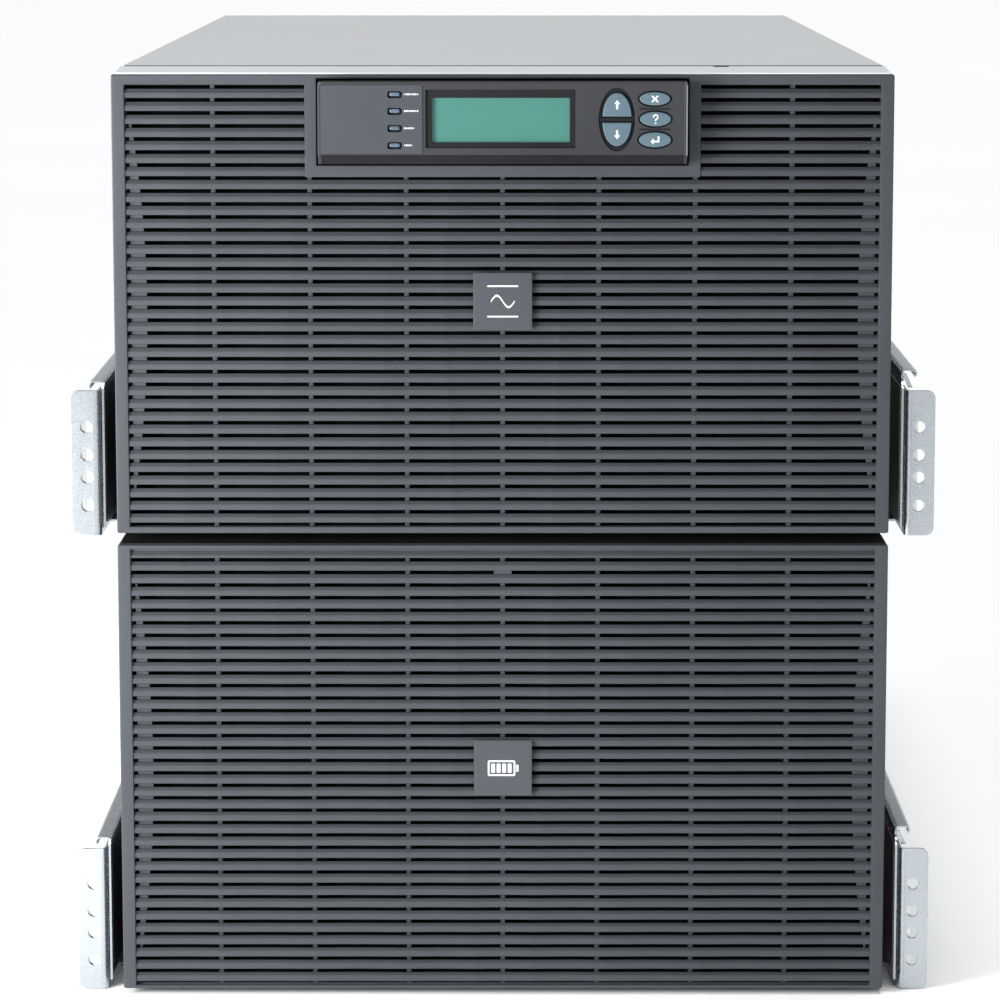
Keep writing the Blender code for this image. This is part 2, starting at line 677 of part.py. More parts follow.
def power_stage(unit):
    """Finned heat sinks on the floor, the power board over them, and what is soldered to it."""
    width, length, height = SINK_SIZE
    half_fin = FIN_THICKNESS / 2
    pitch = (width - FIN_THICKNESS) / (FIN_COUNT - 1)
    comb = [(-width / 2, 0.0), (width / 2, 0.0)]
    for index in reversed(range(FIN_COUNT)):
        x = -width / 2 + half_fin + index * pitch
        comb += [(x + half_fin, height), (x - half_fin, height)]
        if index:
            comb += [(x - half_fin, SINK_BASE), (x - pitch + half_fin, SINK_BASE)]
    for side, word in ((-1, "left"), (1, "right")):
        centre = (side * SINK_PLACE[0], SINK_PLACE[1], SHEET + PLAY)
        plate(f"heatsink_{word}", comb, length, centre, ALONG_Y, unit, "heatsink")

    board_low = SHEET + height + 3 * GAP
    board_high = board_low + BOARD_SHEET
    board_corner = (0.1950, 0.1500, board_high)
    span_block("power_board", (-0.1950, -0.2900, board_low), board_corner, unit, "circuit_board")
    bank_low = (-0.0200, -0.2400, board_high + GAP)
    bank_high = (0.1700, -0.1000, board_high + 0.0040)
    bank = span_block("capacitor_bank", bank_low, bank_high, unit, "capacitor")
    cans = []
    for row in range(2):
        for column in range(4):
            x, y = CAN_FIRST[0] + column * CAN_PITCH[0], CAN_FIRST[1] + row * CAN_PITCH[1]
            place = (x, y, board_high + 0.0020 + CAN_HEIGHT / 2)
            can = f"capacitor_{row}_{column}"
            cans.append(rod(can, CAN_RADIUS, CAN_HEIGHT, place, (0, 0, 1), unit, sides=14))
    join(bank, *cans)

    for side, word in ((-1, "input"), (1, "output")):
        centre = (side * CHOKE_PLACE[0], CHOKE_PLACE[1], board_high + GAP + CHOKE_HEIGHT / 2)
        coil = rod(f"{word}_choke", CHOKE_RADIUS, CHOKE_HEIGHT, centre, (0, 0, 1), unit, "winding", 20)
        cut(coil, rod(f"{word}_choke_bore", CHOKE_BORE_RADIUS, 2 * CHOKE_HEIGHT, centre, (0, 0, 1), unit))

    span_block("control_board", (-0.1800, -0.2600, 0.1900), (0.1800, 0.0500, 0.1916), unit, "circuit_board")


def panel_opening(name, unit, x, z, clear=0.0):
    """A cutter through a rear panel, over these x and z ranges and some clearance."""
    low = (x[0] - clear, REAR_Y - 0.01, z[0] - clear)
    high = (x[1] + clear, REAR_Y + 0.01, z[1] + clear)
    return span_block(name, low, high, unit)


def power_connector(name, foot, unit):
    """Battery connector with two deep ways for the lead's poles. Returns its panel opening."""
    top = foot + CONNECTOR_HEIGHT
    low = (CONNECTOR_X[0], REAR_Y - 0.0300, foot)
    body = span_block(name, low, (CONNECTOR_X[1], REAR_Y + 0.0080, top), unit, "connector")
    way_width, way_height = CONNECTOR_WAY
    way_foot = foot + (CONNECTOR_HEIGHT - way_height) / 2
    ways = []
    for index in range(2):
        x = CONNECTOR_X[0] + 0.0040 + index * CONNECTOR_PITCH
        ways.append(((x, REAR_Y - 0.0150, way_foot), (x + way_width, REAR_Y + 0.02, way_foot + way_height)))
    cut(body, many_blocks(name + "_ways", ways, unit))
    return panel_opening(name + "_opening", unit, CONNECTOR_X, (foot, top), PANEL_CLEAR)


def breaker(name, place, unit):
    """Moulded breaker with a toggle that swings about a level axis. Returns its panel opening."""
    x, z = place
    half_x, half_z = BREAKER_SIZE[0] / 2, BREAKER_SIZE[1] / 2
    low = (x - half_x, REAR_Y - 0.0500, z - half_z)
    body = span_block(name + "_body", low, (x + half_x, REAR_Y + 0.0020, z + half_z), unit, "switch_plastic")
    well_x, well_z = BREAKER_WELL[0] / 2, BREAKER_WELL[1] / 2
    low = (x - well_x, REAR_Y - 0.0140, z - well_z)
    cut(body, span_block(name + "_well", low, (x + well_x, REAR_Y + 0.0200, z + well_z), unit))
    pivot = Vector((x, REAR_Y - 0.0060, z))
    toggle = rod(name + "_toggle", 0.0050, 0.0230, pivot, (1, 0, 0), unit, "switch_plastic", 16)
    tip = block(name + "_tip", (0.0180, 0.0170, 0.0050), (0, 0, 0), unit)
    angle = math.radians(BREAKER_LEAN)
    tip.location = pivot + Vector((0, math.cos(angle), math.sin(angle))) * 0.0085
    tip.rotation_euler = (angle, 0.0, 0.0)
    join(toggle, tip)
    clear = 2 * PANEL_CLEAR
    return panel_opening(name + "_opening", unit, (x - half_x, x + half_x), (z - half_z, z + half_z), clear)


def bypass_switch(unit):
    """Round rotary switch with a bar knob on its shaft. Returns its panel opening."""
    x, z = BYPASS
    body_at = (x, REAR_Y - 0.0150, z)
    body = rod("bypass_switch_body", BYPASS_RADIUS, 0.0400, body_at, (0, 1, 0), unit, "switch_plastic", 20)
    hole = rod("bypass_shaft_hole", BYPASS_SHAFT_RADIUS + PLAY, 0.0300, (x, REAR_Y, z), (0, 1, 0), unit)
    cut(body, hole)
    shaft_at = (x, REAR_Y + 0.0020, z)
    knob = rod("bypass_knob", BYPASS_SHAFT_RADIUS, 0.0100, shaft_at, (0, 1, 0), unit, "switch_plastic")
    join(knob, block("bypass_grip", (0.0100, 0.0064, 0.0320), (x, REAR_Y + 0.0098, z), unit))
    return rod("bypass_opening", BYPASS_RADIUS + PANEL_CLEAR, 0.030, (x, REAR_Y, z), (0, 1, 0), unit, sides=20)


def terminals(unit):
    """Hard-wire terminal block under a hollow cover whose foot takes the cables. Returns its panel opening."""
    low = (TERMINALS_X[0], REAR_Y - 0.0400, TERMINALS_Z[0])
    high = (TERMINALS_X[1], REAR_Y + 0.0040, TERMINALS_Z[1])
    strip = span_block("terminal_block", low, high, unit, "terminal")
    wall = 0.0030
    bays = []
    for index in range(TERMINAL_BAYS):
        x = TERMINALS_X[0] + wall + index * TERMINAL_PITCH
        bay_low = (x, REAR_Y - 0.0150, TERMINALS_Z[0] + wall)
        bays.append((bay_low, (x + 0.0320, REAR_Y + 0.01, TERMINALS_Z[1] - wall)))
    cut(strip, many_blocks("terminal_bays", bays, unit))

    wall = 0.0020
    low = (TERMINAL_COVER_X[0], REAR_Y + PLAY, TERMINAL_COVER_Z[0])
    high = (TERMINAL_COVER_X[1], REAR_Y + REAR_PROUD, TERMINAL_COVER_Z[1])
    cover = span_block("terminal_cover", low, high, unit, "cover_paint", bevel=0.0015)
    low = (TERMINAL_COVER_X[0] + wall, REAR_Y - 0.01, TERMINAL_COVER_Z[0] + wall)
    high = (TERMINAL_COVER_X[1] - wall, REAR_Y + REAR_PROUD - wall, TERMINAL_COVER_Z[1] - wall)
    cutters = [span_block("terminal_cover_inside", low, high, unit)]
    for index in range(3):
        place = (-0.1400 + index * 0.0600, REAR_Y + REAR_PROUD / 2, TERMINAL_COVER_Z[0] + wall / 2)
        cutters.append(block(f"cable_entry_{index + 1}", (0.0300, 0.0080, 0.0060), place, unit))
    cut(cover, *cutters)
    spread = 0.0100
    return panel_opening("terminal_opening", unit, TERMINALS_X, TERMINALS_Z, spread)


def network_card(unit):
    """Plug-in card: a board behind a bracket, with two sockets. Returns its panel opening."""
    board_top = CARD_Z + 0.0016
    low = (CARD_X[0], REAR_Y - CARD_DEPTH, CARD_Z)
    card = span_block("network_card", low, (CARD_X[1], REAR_Y - SHEET, board_top), unit, "circuit_board")
    low = (CARD_BRACKET_X[0], REAR_Y + PLAY, CARD_BRACKET_Z[0])
    high = (CARD_BRACKET_X[1], REAR_Y + PLAY + 0.0016, CARD_BRACKET_Z[1])
    bracket = span_block("network_card_bracket", low, high, unit)
    low = (CARD_X[0], REAR_Y - 0.0030, CARD_Z)
    fold = span_block("network_card_fold", low, (CARD_X[1], REAR_Y + 0.0010, CARD_Z + 0.0050), unit)
    sockets = []
    for index, (left, right) in enumerate(CARD_SOCKETS_X):
        low = (left, REAR_Y - 0.0200, CARD_SOCKET_Z[0])
        high = (right, REAR_Y + 0.0040, CARD_SOCKET_Z[1])
        sockets.append(span_block(f"card_socket_{index + 1}", low, high, unit))
    join(card, bracket, fold, *sockets)
    inside = (CARD_BRACKET_Z[0] + 0.0045, CARD_BRACKET_Z[1] - 0.0045)
    return panel_opening("card_opening", unit, (CARD_X[0] - PANEL_CLEAR, CARD_X[1] + PANEL_CLEAR), inside)


def ups_rear(unit):
    """Rear panel with its grilles, the hard-wire terminals under a cover, and what is operated from behind."""
    slots = []
    for row in range(GRILLE_ROWS):
        z = GRILLE_FOOT + row * GRILLE_PITCH
        for left, right in GRILLE_COLUMNS:
            slots.append(((left, REAR_Y - 0.01, z), (right, REAR_Y + 0.01, z + GRILLE_HEIGHT)))
    openings = [
        many_blocks("rear_grille_slots", slots, unit),
        network_card(unit),
        power_connector("battery_inlet", INLET_FOOT, unit),
        breaker("input_breaker", INPUT_BREAKER, unit),
        bypass_switch(unit),
        terminals(unit),
    ]
    rear_panel("ups_rear_panel", unit, openings)


# ---------------------------------------------------------------- battery pack


def battery_pack():
    unit = empty("battery_pack", (0, 0, PACK_Z))
    chassis_tray("pack_chassis_tray", unit)
    top_cover("pack_top_cover", unit)
    bezel("lower_bezel", "lower", unit)
    badge("lower_badge", "lower", unit)

    half = INNER_X - PLAY
    front, rear = CHASSIS_FRONT_Y + 0.0020, REAR_Y - SHELF_SHORT
    shelf_high = (half, rear, SHELF_Z + SHEET)
    shelf = span_block("pack_shelf", (-half, front, SHELF_Z), shelf_high, unit, "chassis_steel")
    middle = SHELF_Z + SHEET / 2
    fence_top = CHASSIS_HEIGHT - SHEET - 2 * PLAY
    fence_low = span_block("pack_fence_low", (-SHEET / 2, front, SHEET + PLAY), (SHEET / 2, rear, middle), unit)
    fence_high = span_block("pack_fence_high", (-SHEET / 2, front, middle), (SHEET / 2, rear, fence_top), unit)
    join(shelf, fence_low, fence_high)

    for row, floor in ((0, SHEET), (1, SHELF_Z + SHEET)):
        for column, side in ((0, -1), (1, 1)):
            battery_module(f"battery_module_{row * 2 + column + 1}", side, floor + GAP, unit)

    openings = [
        power_connector("battery_outlet", OUTLET_FOOT, unit),
        breaker("pack_breaker", PACK_BREAKER, unit),
    ]
    rear_panel("pack_rear_panel", unit, openings)


def battery_module(name, side, floor, unit):
    """Sealed battery cartridge: a long case with a pull bar across a recess in its front."""
    width, length, height = MODULE_SIZE
    front = CHASSIS_FRONT_Y + 0.0060
    x = side * (INNER_X / 2 + SHEET / 4)
    middle = floor + height / 2
    high = (x + width / 2, front + length, floor + height)
    case = span_block(name, (x - width / 2, front, floor), high, unit, "battery_case")
    recess_width, recess_depth, recess_height = MODULE_RECESS
    low = (x - recess_width / 2, front - 0.01, middle - recess_height / 2)
    high = (x + recess_width / 2, front + recess_depth, middle + recess_height / 2)
    cut(case, span_block(name + "_recess", low, high, unit))
    join(case, block(name + "_bar", MODULE_BAR, (x, front + 0.0060, middle), unit))


# ---------------------------------------------------------------- rack rails


def rail(word, side, base, lip_rise):
    """Telescoping rail: a front section with the rack flange, and a rear section that slides inside its web and
    hooks over it with a top lip, whose front end slopes down to the flange."""
    flange_y = FRONT_Y + RAIL_SETBACK
    outer = RACK_WIDTH / 2
    web_out, web_in = RAIL_WEB_X, RAIL_WEB_X - LEDGE
    low = base - LEDGE - PLAY
    overlap = LEDGE / 3
    rear_end = flange_y + RAIL_FRONT_LENGTH
    web_x = sorted((side * web_in, side * web_out))
    web_low = (web_x[0], flange_y + overlap, low)
    web_high = (web_x[1], rear_end, low + RAIL_HEIGHT - overlap)
    front = span_block(f"rail_front_{word}", web_low, web_high, None, "zinc_rail")
    flange_x = sorted((side * (web_in + overlap), side * outer))
    flange_high = (flange_x[1], flange_y + RAIL_FLANGE, low + RAIL_HEIGHT)
    flange = span_block(f"rail_flange_{word}", (flange_x[0], flange_y, low + overlap), flange_high)
    ledge_x = sorted((side * RAIL_LEDGE_X, side * (web_out - overlap)))
    ledge_high = (ledge_x[1], rear_end - overlap, low + LEDGE)
    ledge = span_block(f"rail_ledge_{word}", (ledge_x[0], flange_y + RAIL_LEDGE_START, low), ledge_high)
    join(front, flange, ledge)
    holes = [(side * RACK_HOLE_SPAN / 2, flange_y, low + z) for z in RACK_HOLES]
    cut(front, many_rods(f"rail_holes_{word}", holes, RACK_HOLE_RADIUS, 0.02, (0, 1, 0), sides=12))

    slide_out = web_in - PLAY
    slide_in = slide_out - LEDGE
    nose = flange_y + RAIL_NOSE
    tail = REAR_Y + overlap
    foot_z = RAIL_HEIGHT + LEDGE + PLAY
    lip_z = foot_z + lip_rise
    web_outline = [
        (nose, LEDGE + PLAY),
        (tail, LEDGE + PLAY),
        (tail, lip_z - overlap),
        (nose + lip_rise + overlap, lip_z - overlap),
        (nose, foot_z - overlap),
    ]
    web_centre = (side * (slide_in + slide_out) / 2, 0.0, low)
    rear = plate(f"rail_rear_{word}", web_outline, LEDGE, web_centre, ACROSS_X, None, "zinc_rail")
    lip_outline = [
        (nose, foot_z),
        (nose + lip_rise, lip_z),
        (tail - overlap, lip_z),
        (tail - overlap, lip_z - LEDGE),
        (nose + lip_rise + overlap, lip_z - LEDGE),
        (nose + 0.0010, foot_z - LEDGE),
        (nose, foot_z - LEDGE),
    ]
    lip_width = RAIL_LIP - overlap
    lip_centre = (side * (slide_in + overlap + lip_width / 2), 0.0, low)
    lip = plate(f"rail_rear_lip_{word}", lip_outline, lip_width, lip_centre, ACROSS_X)
    base_outline = [
        (RAIL_LEDGE_X, 0.0),
        (slide_out, 0.0),
        (slide_out, 2 * LEDGE + PLAY),
        (slide_in, 2 * LEDGE + PLAY),
        (slide_in, LEDGE),
        (RAIL_LEDGE_X, LEDGE),
    ]
    base_outline = [(side * x, z) for x, z in base_outline]
    base_start = rear_end + 0.0020
    base_centre = (0.0, (base_start + tail) / 2, low)
    rear_ledge = plate(f"rail_rear_ledge_{word}", base_outline, tail - base_start, base_centre, ALONG_Y)
    tab_x = sorted((side * (slide_in + overlap), side * outer))
    tab_high = (tab_x[1], REAR_Y + RAIL_FLANGE, low + RAIL_HEIGHT)
    tab = span_block(f"rail_rear_flange_{word}", (tab_x[0], REAR_Y, low + overlap), tab_high)
    join(rear, lip, rear_ledge, tab)
    rear_holes = [(side * RACK_HOLE_SPAN / 2, REAR_Y, low + z) for z in RACK_HOLES]
    cut(rear, many_rods(f"rail_rear_holes_{word}", rear_holes, RACK_HOLE_RADIUS, 0.02, (0, 1, 0), sides=12))


power_unit()
battery_pack()
for level, base in (("upper", UPS_Z), ("lower", PACK_Z)):
    rail(f"left_{level}", -1, base, LIP_RISE_LEFT)
    rail(f"right_{level}", 1, base, LIP_RISE_RIGHT)
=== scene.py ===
"""Looks of the rackmount power supply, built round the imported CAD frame. Metres, +Z up, front towards -Y."""

import math

import bmesh
import bpy
import numpy as np
from mathutils import Matrix, Vector


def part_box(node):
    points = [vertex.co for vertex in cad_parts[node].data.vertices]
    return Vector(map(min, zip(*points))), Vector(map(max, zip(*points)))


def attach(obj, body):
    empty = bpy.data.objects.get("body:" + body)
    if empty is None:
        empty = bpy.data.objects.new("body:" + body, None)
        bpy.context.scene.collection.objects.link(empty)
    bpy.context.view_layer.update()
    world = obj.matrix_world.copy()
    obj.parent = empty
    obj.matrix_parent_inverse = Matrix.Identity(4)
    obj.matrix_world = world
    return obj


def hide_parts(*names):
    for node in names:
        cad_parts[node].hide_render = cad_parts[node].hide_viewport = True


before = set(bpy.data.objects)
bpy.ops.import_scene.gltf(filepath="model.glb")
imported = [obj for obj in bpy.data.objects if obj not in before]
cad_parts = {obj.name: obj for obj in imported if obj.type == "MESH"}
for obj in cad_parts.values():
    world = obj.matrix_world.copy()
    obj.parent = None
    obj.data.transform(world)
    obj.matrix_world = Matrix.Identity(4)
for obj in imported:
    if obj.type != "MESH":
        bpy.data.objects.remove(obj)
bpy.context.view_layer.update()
bpy.context.scene.view_settings.view_transform = "Standard"

# ---------------------------------------------------------------- materials


def node(tree, kind, inputs=None, **properties):
    """Adds a shader node, sets its properties, and links or fills its inputs."""
    made = tree.nodes.new(kind)
    for key, value in properties.items():
        setattr(made, key, value)
    for key, value in (inputs or {}).items():
        if isinstance(value, bpy.types.NodeSocket):
            tree.links.new(value, made.inputs[key])
        else:
            made.inputs[key].default_value = value
    return made


def ramp(tree, factor, stops):
    """A colour ramp over (position, colour) stops."""
    made = node(tree, "ShaderNodeValToRGB", {"Fac": factor})
    elements = made.color_ramp.elements
    while len(elements) < len(stops):
        elements.new(0.5)
    for element, (position, colour) in zip(elements, stops):
        element.position = position
        element.color = (*colour, 1.0)
    return made.outputs["Color"]


def noise(tree, where, scale, detail):
    sockets = {"Vector": where, "Scale": scale, "Detail": detail}
    return node(tree, "ShaderNodeTexNoise", sockets).outputs["Fac"]


def mapped(tree, **sockets):
    """The piece's own coordinates, scaled or turned."""
    here = node(tree, "ShaderNodeTexCoord").outputs["Object"]
    return node(tree, "ShaderNodeMapping", {"Vector": here, **sockets}).outputs["Vector"]


def span(tree, value, low, high, to_low, to_high):
    """Maps one range of a value to another, clamped."""
    sockets = {"Value": value, "From Min": low, "From Max": high, "To Min": to_low, "To Max": to_high}
    return node(tree, "ShaderNodeMapRange", sockets).outputs["Result"]


def surface(name, colour, rough, metal=0.0, shade=0.1, patch=9.0, grain=1500.0, bump=0.15, depth=0.0001,
            spread=0.06, stretch=(1.0, 1.0, 1.0), cells=0.0, **sockets):
    """A Principled material whose tone, gloss and height vary with noises in the piece's own coordinates."""
    material = bpy.data.materials.new(name)
    material.use_nodes = True
    tree = material.node_tree
    shader = tree.nodes["Principled BSDF"]
    where = mapped(tree, Scale=stretch)
    if cells:
        broad = node(tree, "ShaderNodeTexVoronoi", {"Vector": where, "Scale": cells}).outputs["Color"]
    else:
        broad = noise(tree, where, patch, 5.0)
    fine = noise(tree, where, grain, 3.0)
    dark = tuple(c * (1 - shade) for c in colour)
    light = tuple(min(1.0, c * (1 + shade)) for c in colour)
    tone = ramp(tree, broad, [(0.3, dark), (0.5, colour), (0.7, light)])
    tree.links.new(tone, shader.inputs["Base Color"])
    tree.links.new(span(tree, fine, 0.3, 0.7, rough - spread, rough + spread), shader.inputs["Roughness"])
    lift = node(tree, "ShaderNodeBump", {"Height": fine, "Strength": bump, "Distance": depth})
    tree.links.new(lift.outputs["Normal"], shader.inputs["Normal"])
    shader.inputs["Metallic"].default_value = metal
    for key, value in sockets.items():
        shader.inputs[key.replace("_", " ")].default_value = value
    return material


def glass_panel(name, colour, line):
    """A liquid-crystal cell: faint character cells under a clear coat."""
    material = surface(name, colour, 0.32, shade=0.03, patch=30.0, bump=0.02)
    tree = material.node_tree
    shader = tree.nodes["Principled BSDF"]
    sockets = {
        "Vector": mapped(tree, Rotation=(math.pi / 2, 0, 0)), "Color1": (*colour, 1.0),
        "Color2": (*colour, 1.0),
        "Mortar": (*line, 1.0),
        "Scale": 1.0,
        "Mortar Size": 0.00018,
        "Brick Width": 0.0035,
        "Row Height": 0.0052,
    }
    brick = node(tree, "ShaderNodeTexBrick", sockets, offset=0.0)
    tree.links.new(brick.outputs["Color"], shader.inputs["Base Color"])
    shader.inputs["Coat Weight"].default_value = 0.25
    shader.inputs["Coat Roughness"].default_value = 0.08
    return material


BEZEL = surface("bezel_plastic_moulded", (0.048, 0.054, 0.062), 0.5, shade=0.07, grain=2400.0, bump=0.22,
                Specular_IOR_Level=0.28)
# Darker copy of the bezel plastic for the slats' tops and upper bands: painted shade.
BEZEL_PAINTED_SHADE = surface("bezel_plastic_painted_shade", (0.028, 0.032, 0.037), 0.55, shade=0.08, grain=2400.0,
                       bump=0.22, Specular_IOR_Level=0.2)
DISPLAY = surface("display_plastic_moulded", (0.024, 0.025, 0.029), 0.5, shade=0.14, grain=1900.0, bump=0.5,
                  Specular_IOR_Level=0.4)
FACEPLATE = surface("faceplate_satin", (0.042, 0.048, 0.058), 0.45, shade=0.06, grain=2600.0, bump=0.1,
                    Specular_IOR_Level=0.4)
BADGE = surface("badge_satin", (0.046, 0.051, 0.059), 0.42, shade=0.08, grain=2200.0, bump=0.12)
COVER = surface("cover_powder_coat", (0.56, 0.57, 0.58), 0.48, shade=0.03, grain=1300.0, bump=0.2, patch=4.0)
HOOD = surface("hood_powder_coat", (0.64, 0.66, 0.68), 0.5, shade=0.03, grain=1300.0, bump=0.2, patch=5.0)
STEEL = surface("chassis_galvanised", (0.25, 0.26, 0.27), 0.52, 0.4, shade=0.05, cells=260.0, grain=900.0,
                bump=0.05)
ZINC = surface("rail_zinc", (0.455, 0.49, 0.515), 0.28, 0.92, shade=0.05, patch=22.0, grain=1600.0, bump=0.03,
               stretch=(1.0, 0.25, 1.0), spread=0.05)
# Olive-grey for the right rails' liner: painted light on the lit inner face of the slide, not a coating.
RAIL_LINER_PAINTED_LIGHT = surface("rail_liner_painted_light", (0.27, 0.26, 0.22), 0.45, 0.3, shade=0.25, patch=9.0, grain=1200.0,
                   bump=0.05, stretch=(1.0, 12.0, 0.3))
SCREW = surface("screw_nickel", (0.62, 0.62, 0.6), 0.3, 1.0, shade=0.1, grain=2500.0, bump=0.1)
# Near-black plastic: the colour of the black moulded parts, and also painted shade where it covers the
# display's lower chamfer, the cover seams, the pack's hood, the tray vents and the front frame's guards.
BLACK_AND_PAINTED_SHADE = surface("moulded_black_and_painted_shade", (0.012, 0.012, 0.014), 0.55, shade=0.2, grain=1700.0, bump=0.25,
                Specular_IOR_Level=0.15)
# Near-black foam behind the grilles: a filter sheet whose blackness also stands in for the shade inside,
# partly painted shade.
FOAM_AND_PAINTED_SHADE = surface("filter_foam_and_painted_shade", (0.006, 0.006, 0.007), 0.85, shade=0.4, patch=900.0, grain=2200.0, bump=0.9,
               depth=0.0006, Specular_IOR_Level=0.05)
# Dark finish for parts inside the grilles and the left rails' liners: painted shade, standing for the shade
# there rather than a coating.
PAINTED_SHADE_DARK = surface("dark_painted_shade", (0.024, 0.025, 0.028), 0.58, 0.2, shade=0.15, grain=1200.0, bump=0.1)
KEY = surface("key_rubber", (0.075, 0.122, 0.154), 0.48, shade=0.05, grain=2100.0, bump=0.15)
PIPE = surface("led_lens", (0.075, 0.11, 0.16), 0.22, shade=0.12, patch=160.0, grain=2500.0, bump=0.05)
WHITE = surface("white_print", (0.62, 0.64, 0.66), 0.5, shade=0.05, grain=3000.0, bump=0.08)
LCD = glass_panel("lcd_cell", (0.038, 0.161, 0.135), (0.037, 0.157, 0.131))
BOARD = surface("board_lacquer", (0.02, 0.13, 0.055), 0.35, shade=0.35, cells=420.0, grain=1800.0, bump=0.15)
FINS = surface("heatsink_aluminium", (0.62, 0.63, 0.64), 0.34, 1.0, shade=0.06, grain=900.0, bump=0.1,
               stretch=(1.0, 0.05, 1.0))
SLEEVE = surface("capacitor_sleeve", (0.03, 0.042, 0.11), 0.3, shade=0.12, grain=1500.0, bump=0.05)
COPPER = surface("winding_enamel", (0.42, 0.17, 0.06), 0.34, 0.7, shade=0.25, patch=220.0, grain=900.0,
                 bump=0.5, stretch=(1.0, 1.0, 4.0))
CASE = surface("battery_case_abs", (0.03, 0.031, 0.034), 0.52, shade=0.14, grain=1400.0, bump=0.35)
TERMINAL = surface("terminal_resin", (0.055, 0.056, 0.06), 0.48, shade=0.12, grain=1600.0, bump=0.25)
GREY = surface("connector_nylon", (0.16, 0.165, 0.175), 0.48, shade=0.1, grain=1700.0, bump=0.2)
BRASS = surface("contact_tinned", (0.7, 0.66, 0.52), 0.28, 1.0, shade=0.1, grain=1900.0, bump=0.08)
RED = surface("breaker_red", (0.42, 0.025, 0.02), 0.42, shade=0.1, grain=1600.0, bump=0.15)

# ---------------------------------------------------------------- mesh building


def circle(x, y, radius, sides=24):
    turns = [2 * math.pi * i / sides for i in range(sides)]
    return [(x + radius * math.cos(t), y + radius * math.sin(t)) for t in turns]


def oval(x, y, width, height, sides=48):
    return [(x + u * width / 2, y + v * height / 2) for u, v in circle(0.0, 0.0, 1.0, sides)]


def arc(x, y, radius, start, end, steps=5):
    turns = [math.radians(start + (end - start) * i / steps) for i in range(steps + 1)]
    return [(x + radius * math.cos(t), y + radius * math.sin(t)) for t in turns]


def rounded(x0, y0, x1, y1, radius, corners="1111"):
    """A rectangle with rounded corners, in the order right-top, left-top, left-bottom, right-bottom."""
    x0, x1 = sorted((x0, x1))
    y0, y1 = sorted((y0, y1))
    spots = [(x1, y1, -1, -1, 0), (x0, y1, 1, -1, 90), (x0, y0, 1, 1, 180), (x1, y0, -1, 1, 270)]
    points = []
    for flag, (x, y, sx, sy, turn) in zip(corners, spots):
        if flag == "1":
            points += arc(x + sx * radius, y + sy * radius, radius, turn, turn + 90)
        else:
            points.append((x, y))
    return points


def front_of(low, high, radius, inset=0.0):
    """A box's outline as seen from the front."""
    return rounded(low.x + inset, low.z + inset, high.x - inset, high.z - inset, radius)


def cross_outline(arm, wide):
    corner = [(wide, arm), (-wide, arm), (-wide, wide)]
    return [(x * c - y * s, x * s + y * c) for c, s in ((1, 0), (0, 1), (-1, 0), (0, -1)) for x, y in corner]


def centred(x, z, wide, tall, radius):
    """A rounded rectangle that reaches this far to each side of its middle."""
    return rounded(x - wide, z - tall, x + wide, z + tall, radius)


def annulus(x, z, outer, inner, sides):
    return [circle(x, z, outer, sides), circle(x, z, inner, sides)]


def between(side, inner, outer):
    """The two ends of a thickness at these distances from the middle, on the left or the right side."""
    return sorted((side * inner, side * outer))


def facing(place, axis):
    """The transform that stands something built along z at a place, along an axis."""
    turn = Vector((0, 0, 1)).rotation_difference(Vector(axis))
    return Matrix.Translation(place) @ turn.to_matrix().to_4x4()


def quarter_turns(place):
    """Four transforms about a fore-and-aft line, one for each diagonal."""
    return [Matrix.Translation(place) @ Matrix.Rotation(math.radians(45 + 90 * i), 4, "Y") for i in range(4)]


def box_outline(x0, y0, x1, y1):
    return [(x0, y0), (x1, y0), (x1, y1), (x0, y1)]


def key_shape(half, x, z, width, height):
    """The outline of a key: a whole oval, or the upper or lower half of an upright one."""
    if not half:
        return oval(x, z, width, height)
    points = [(width / 2 * math.cos(t), height * (math.sin(t) - 0.5)) for t in np.linspace(0.0, math.pi, 25)]
    return [(x + u, z + v * half) for u, v in points]


BACKWARD = (0, 1, 0)
FORWARD = (0, -1, 0)
SHARP_ANGLE = math.radians(32)   # edges steeper than this stay sharp


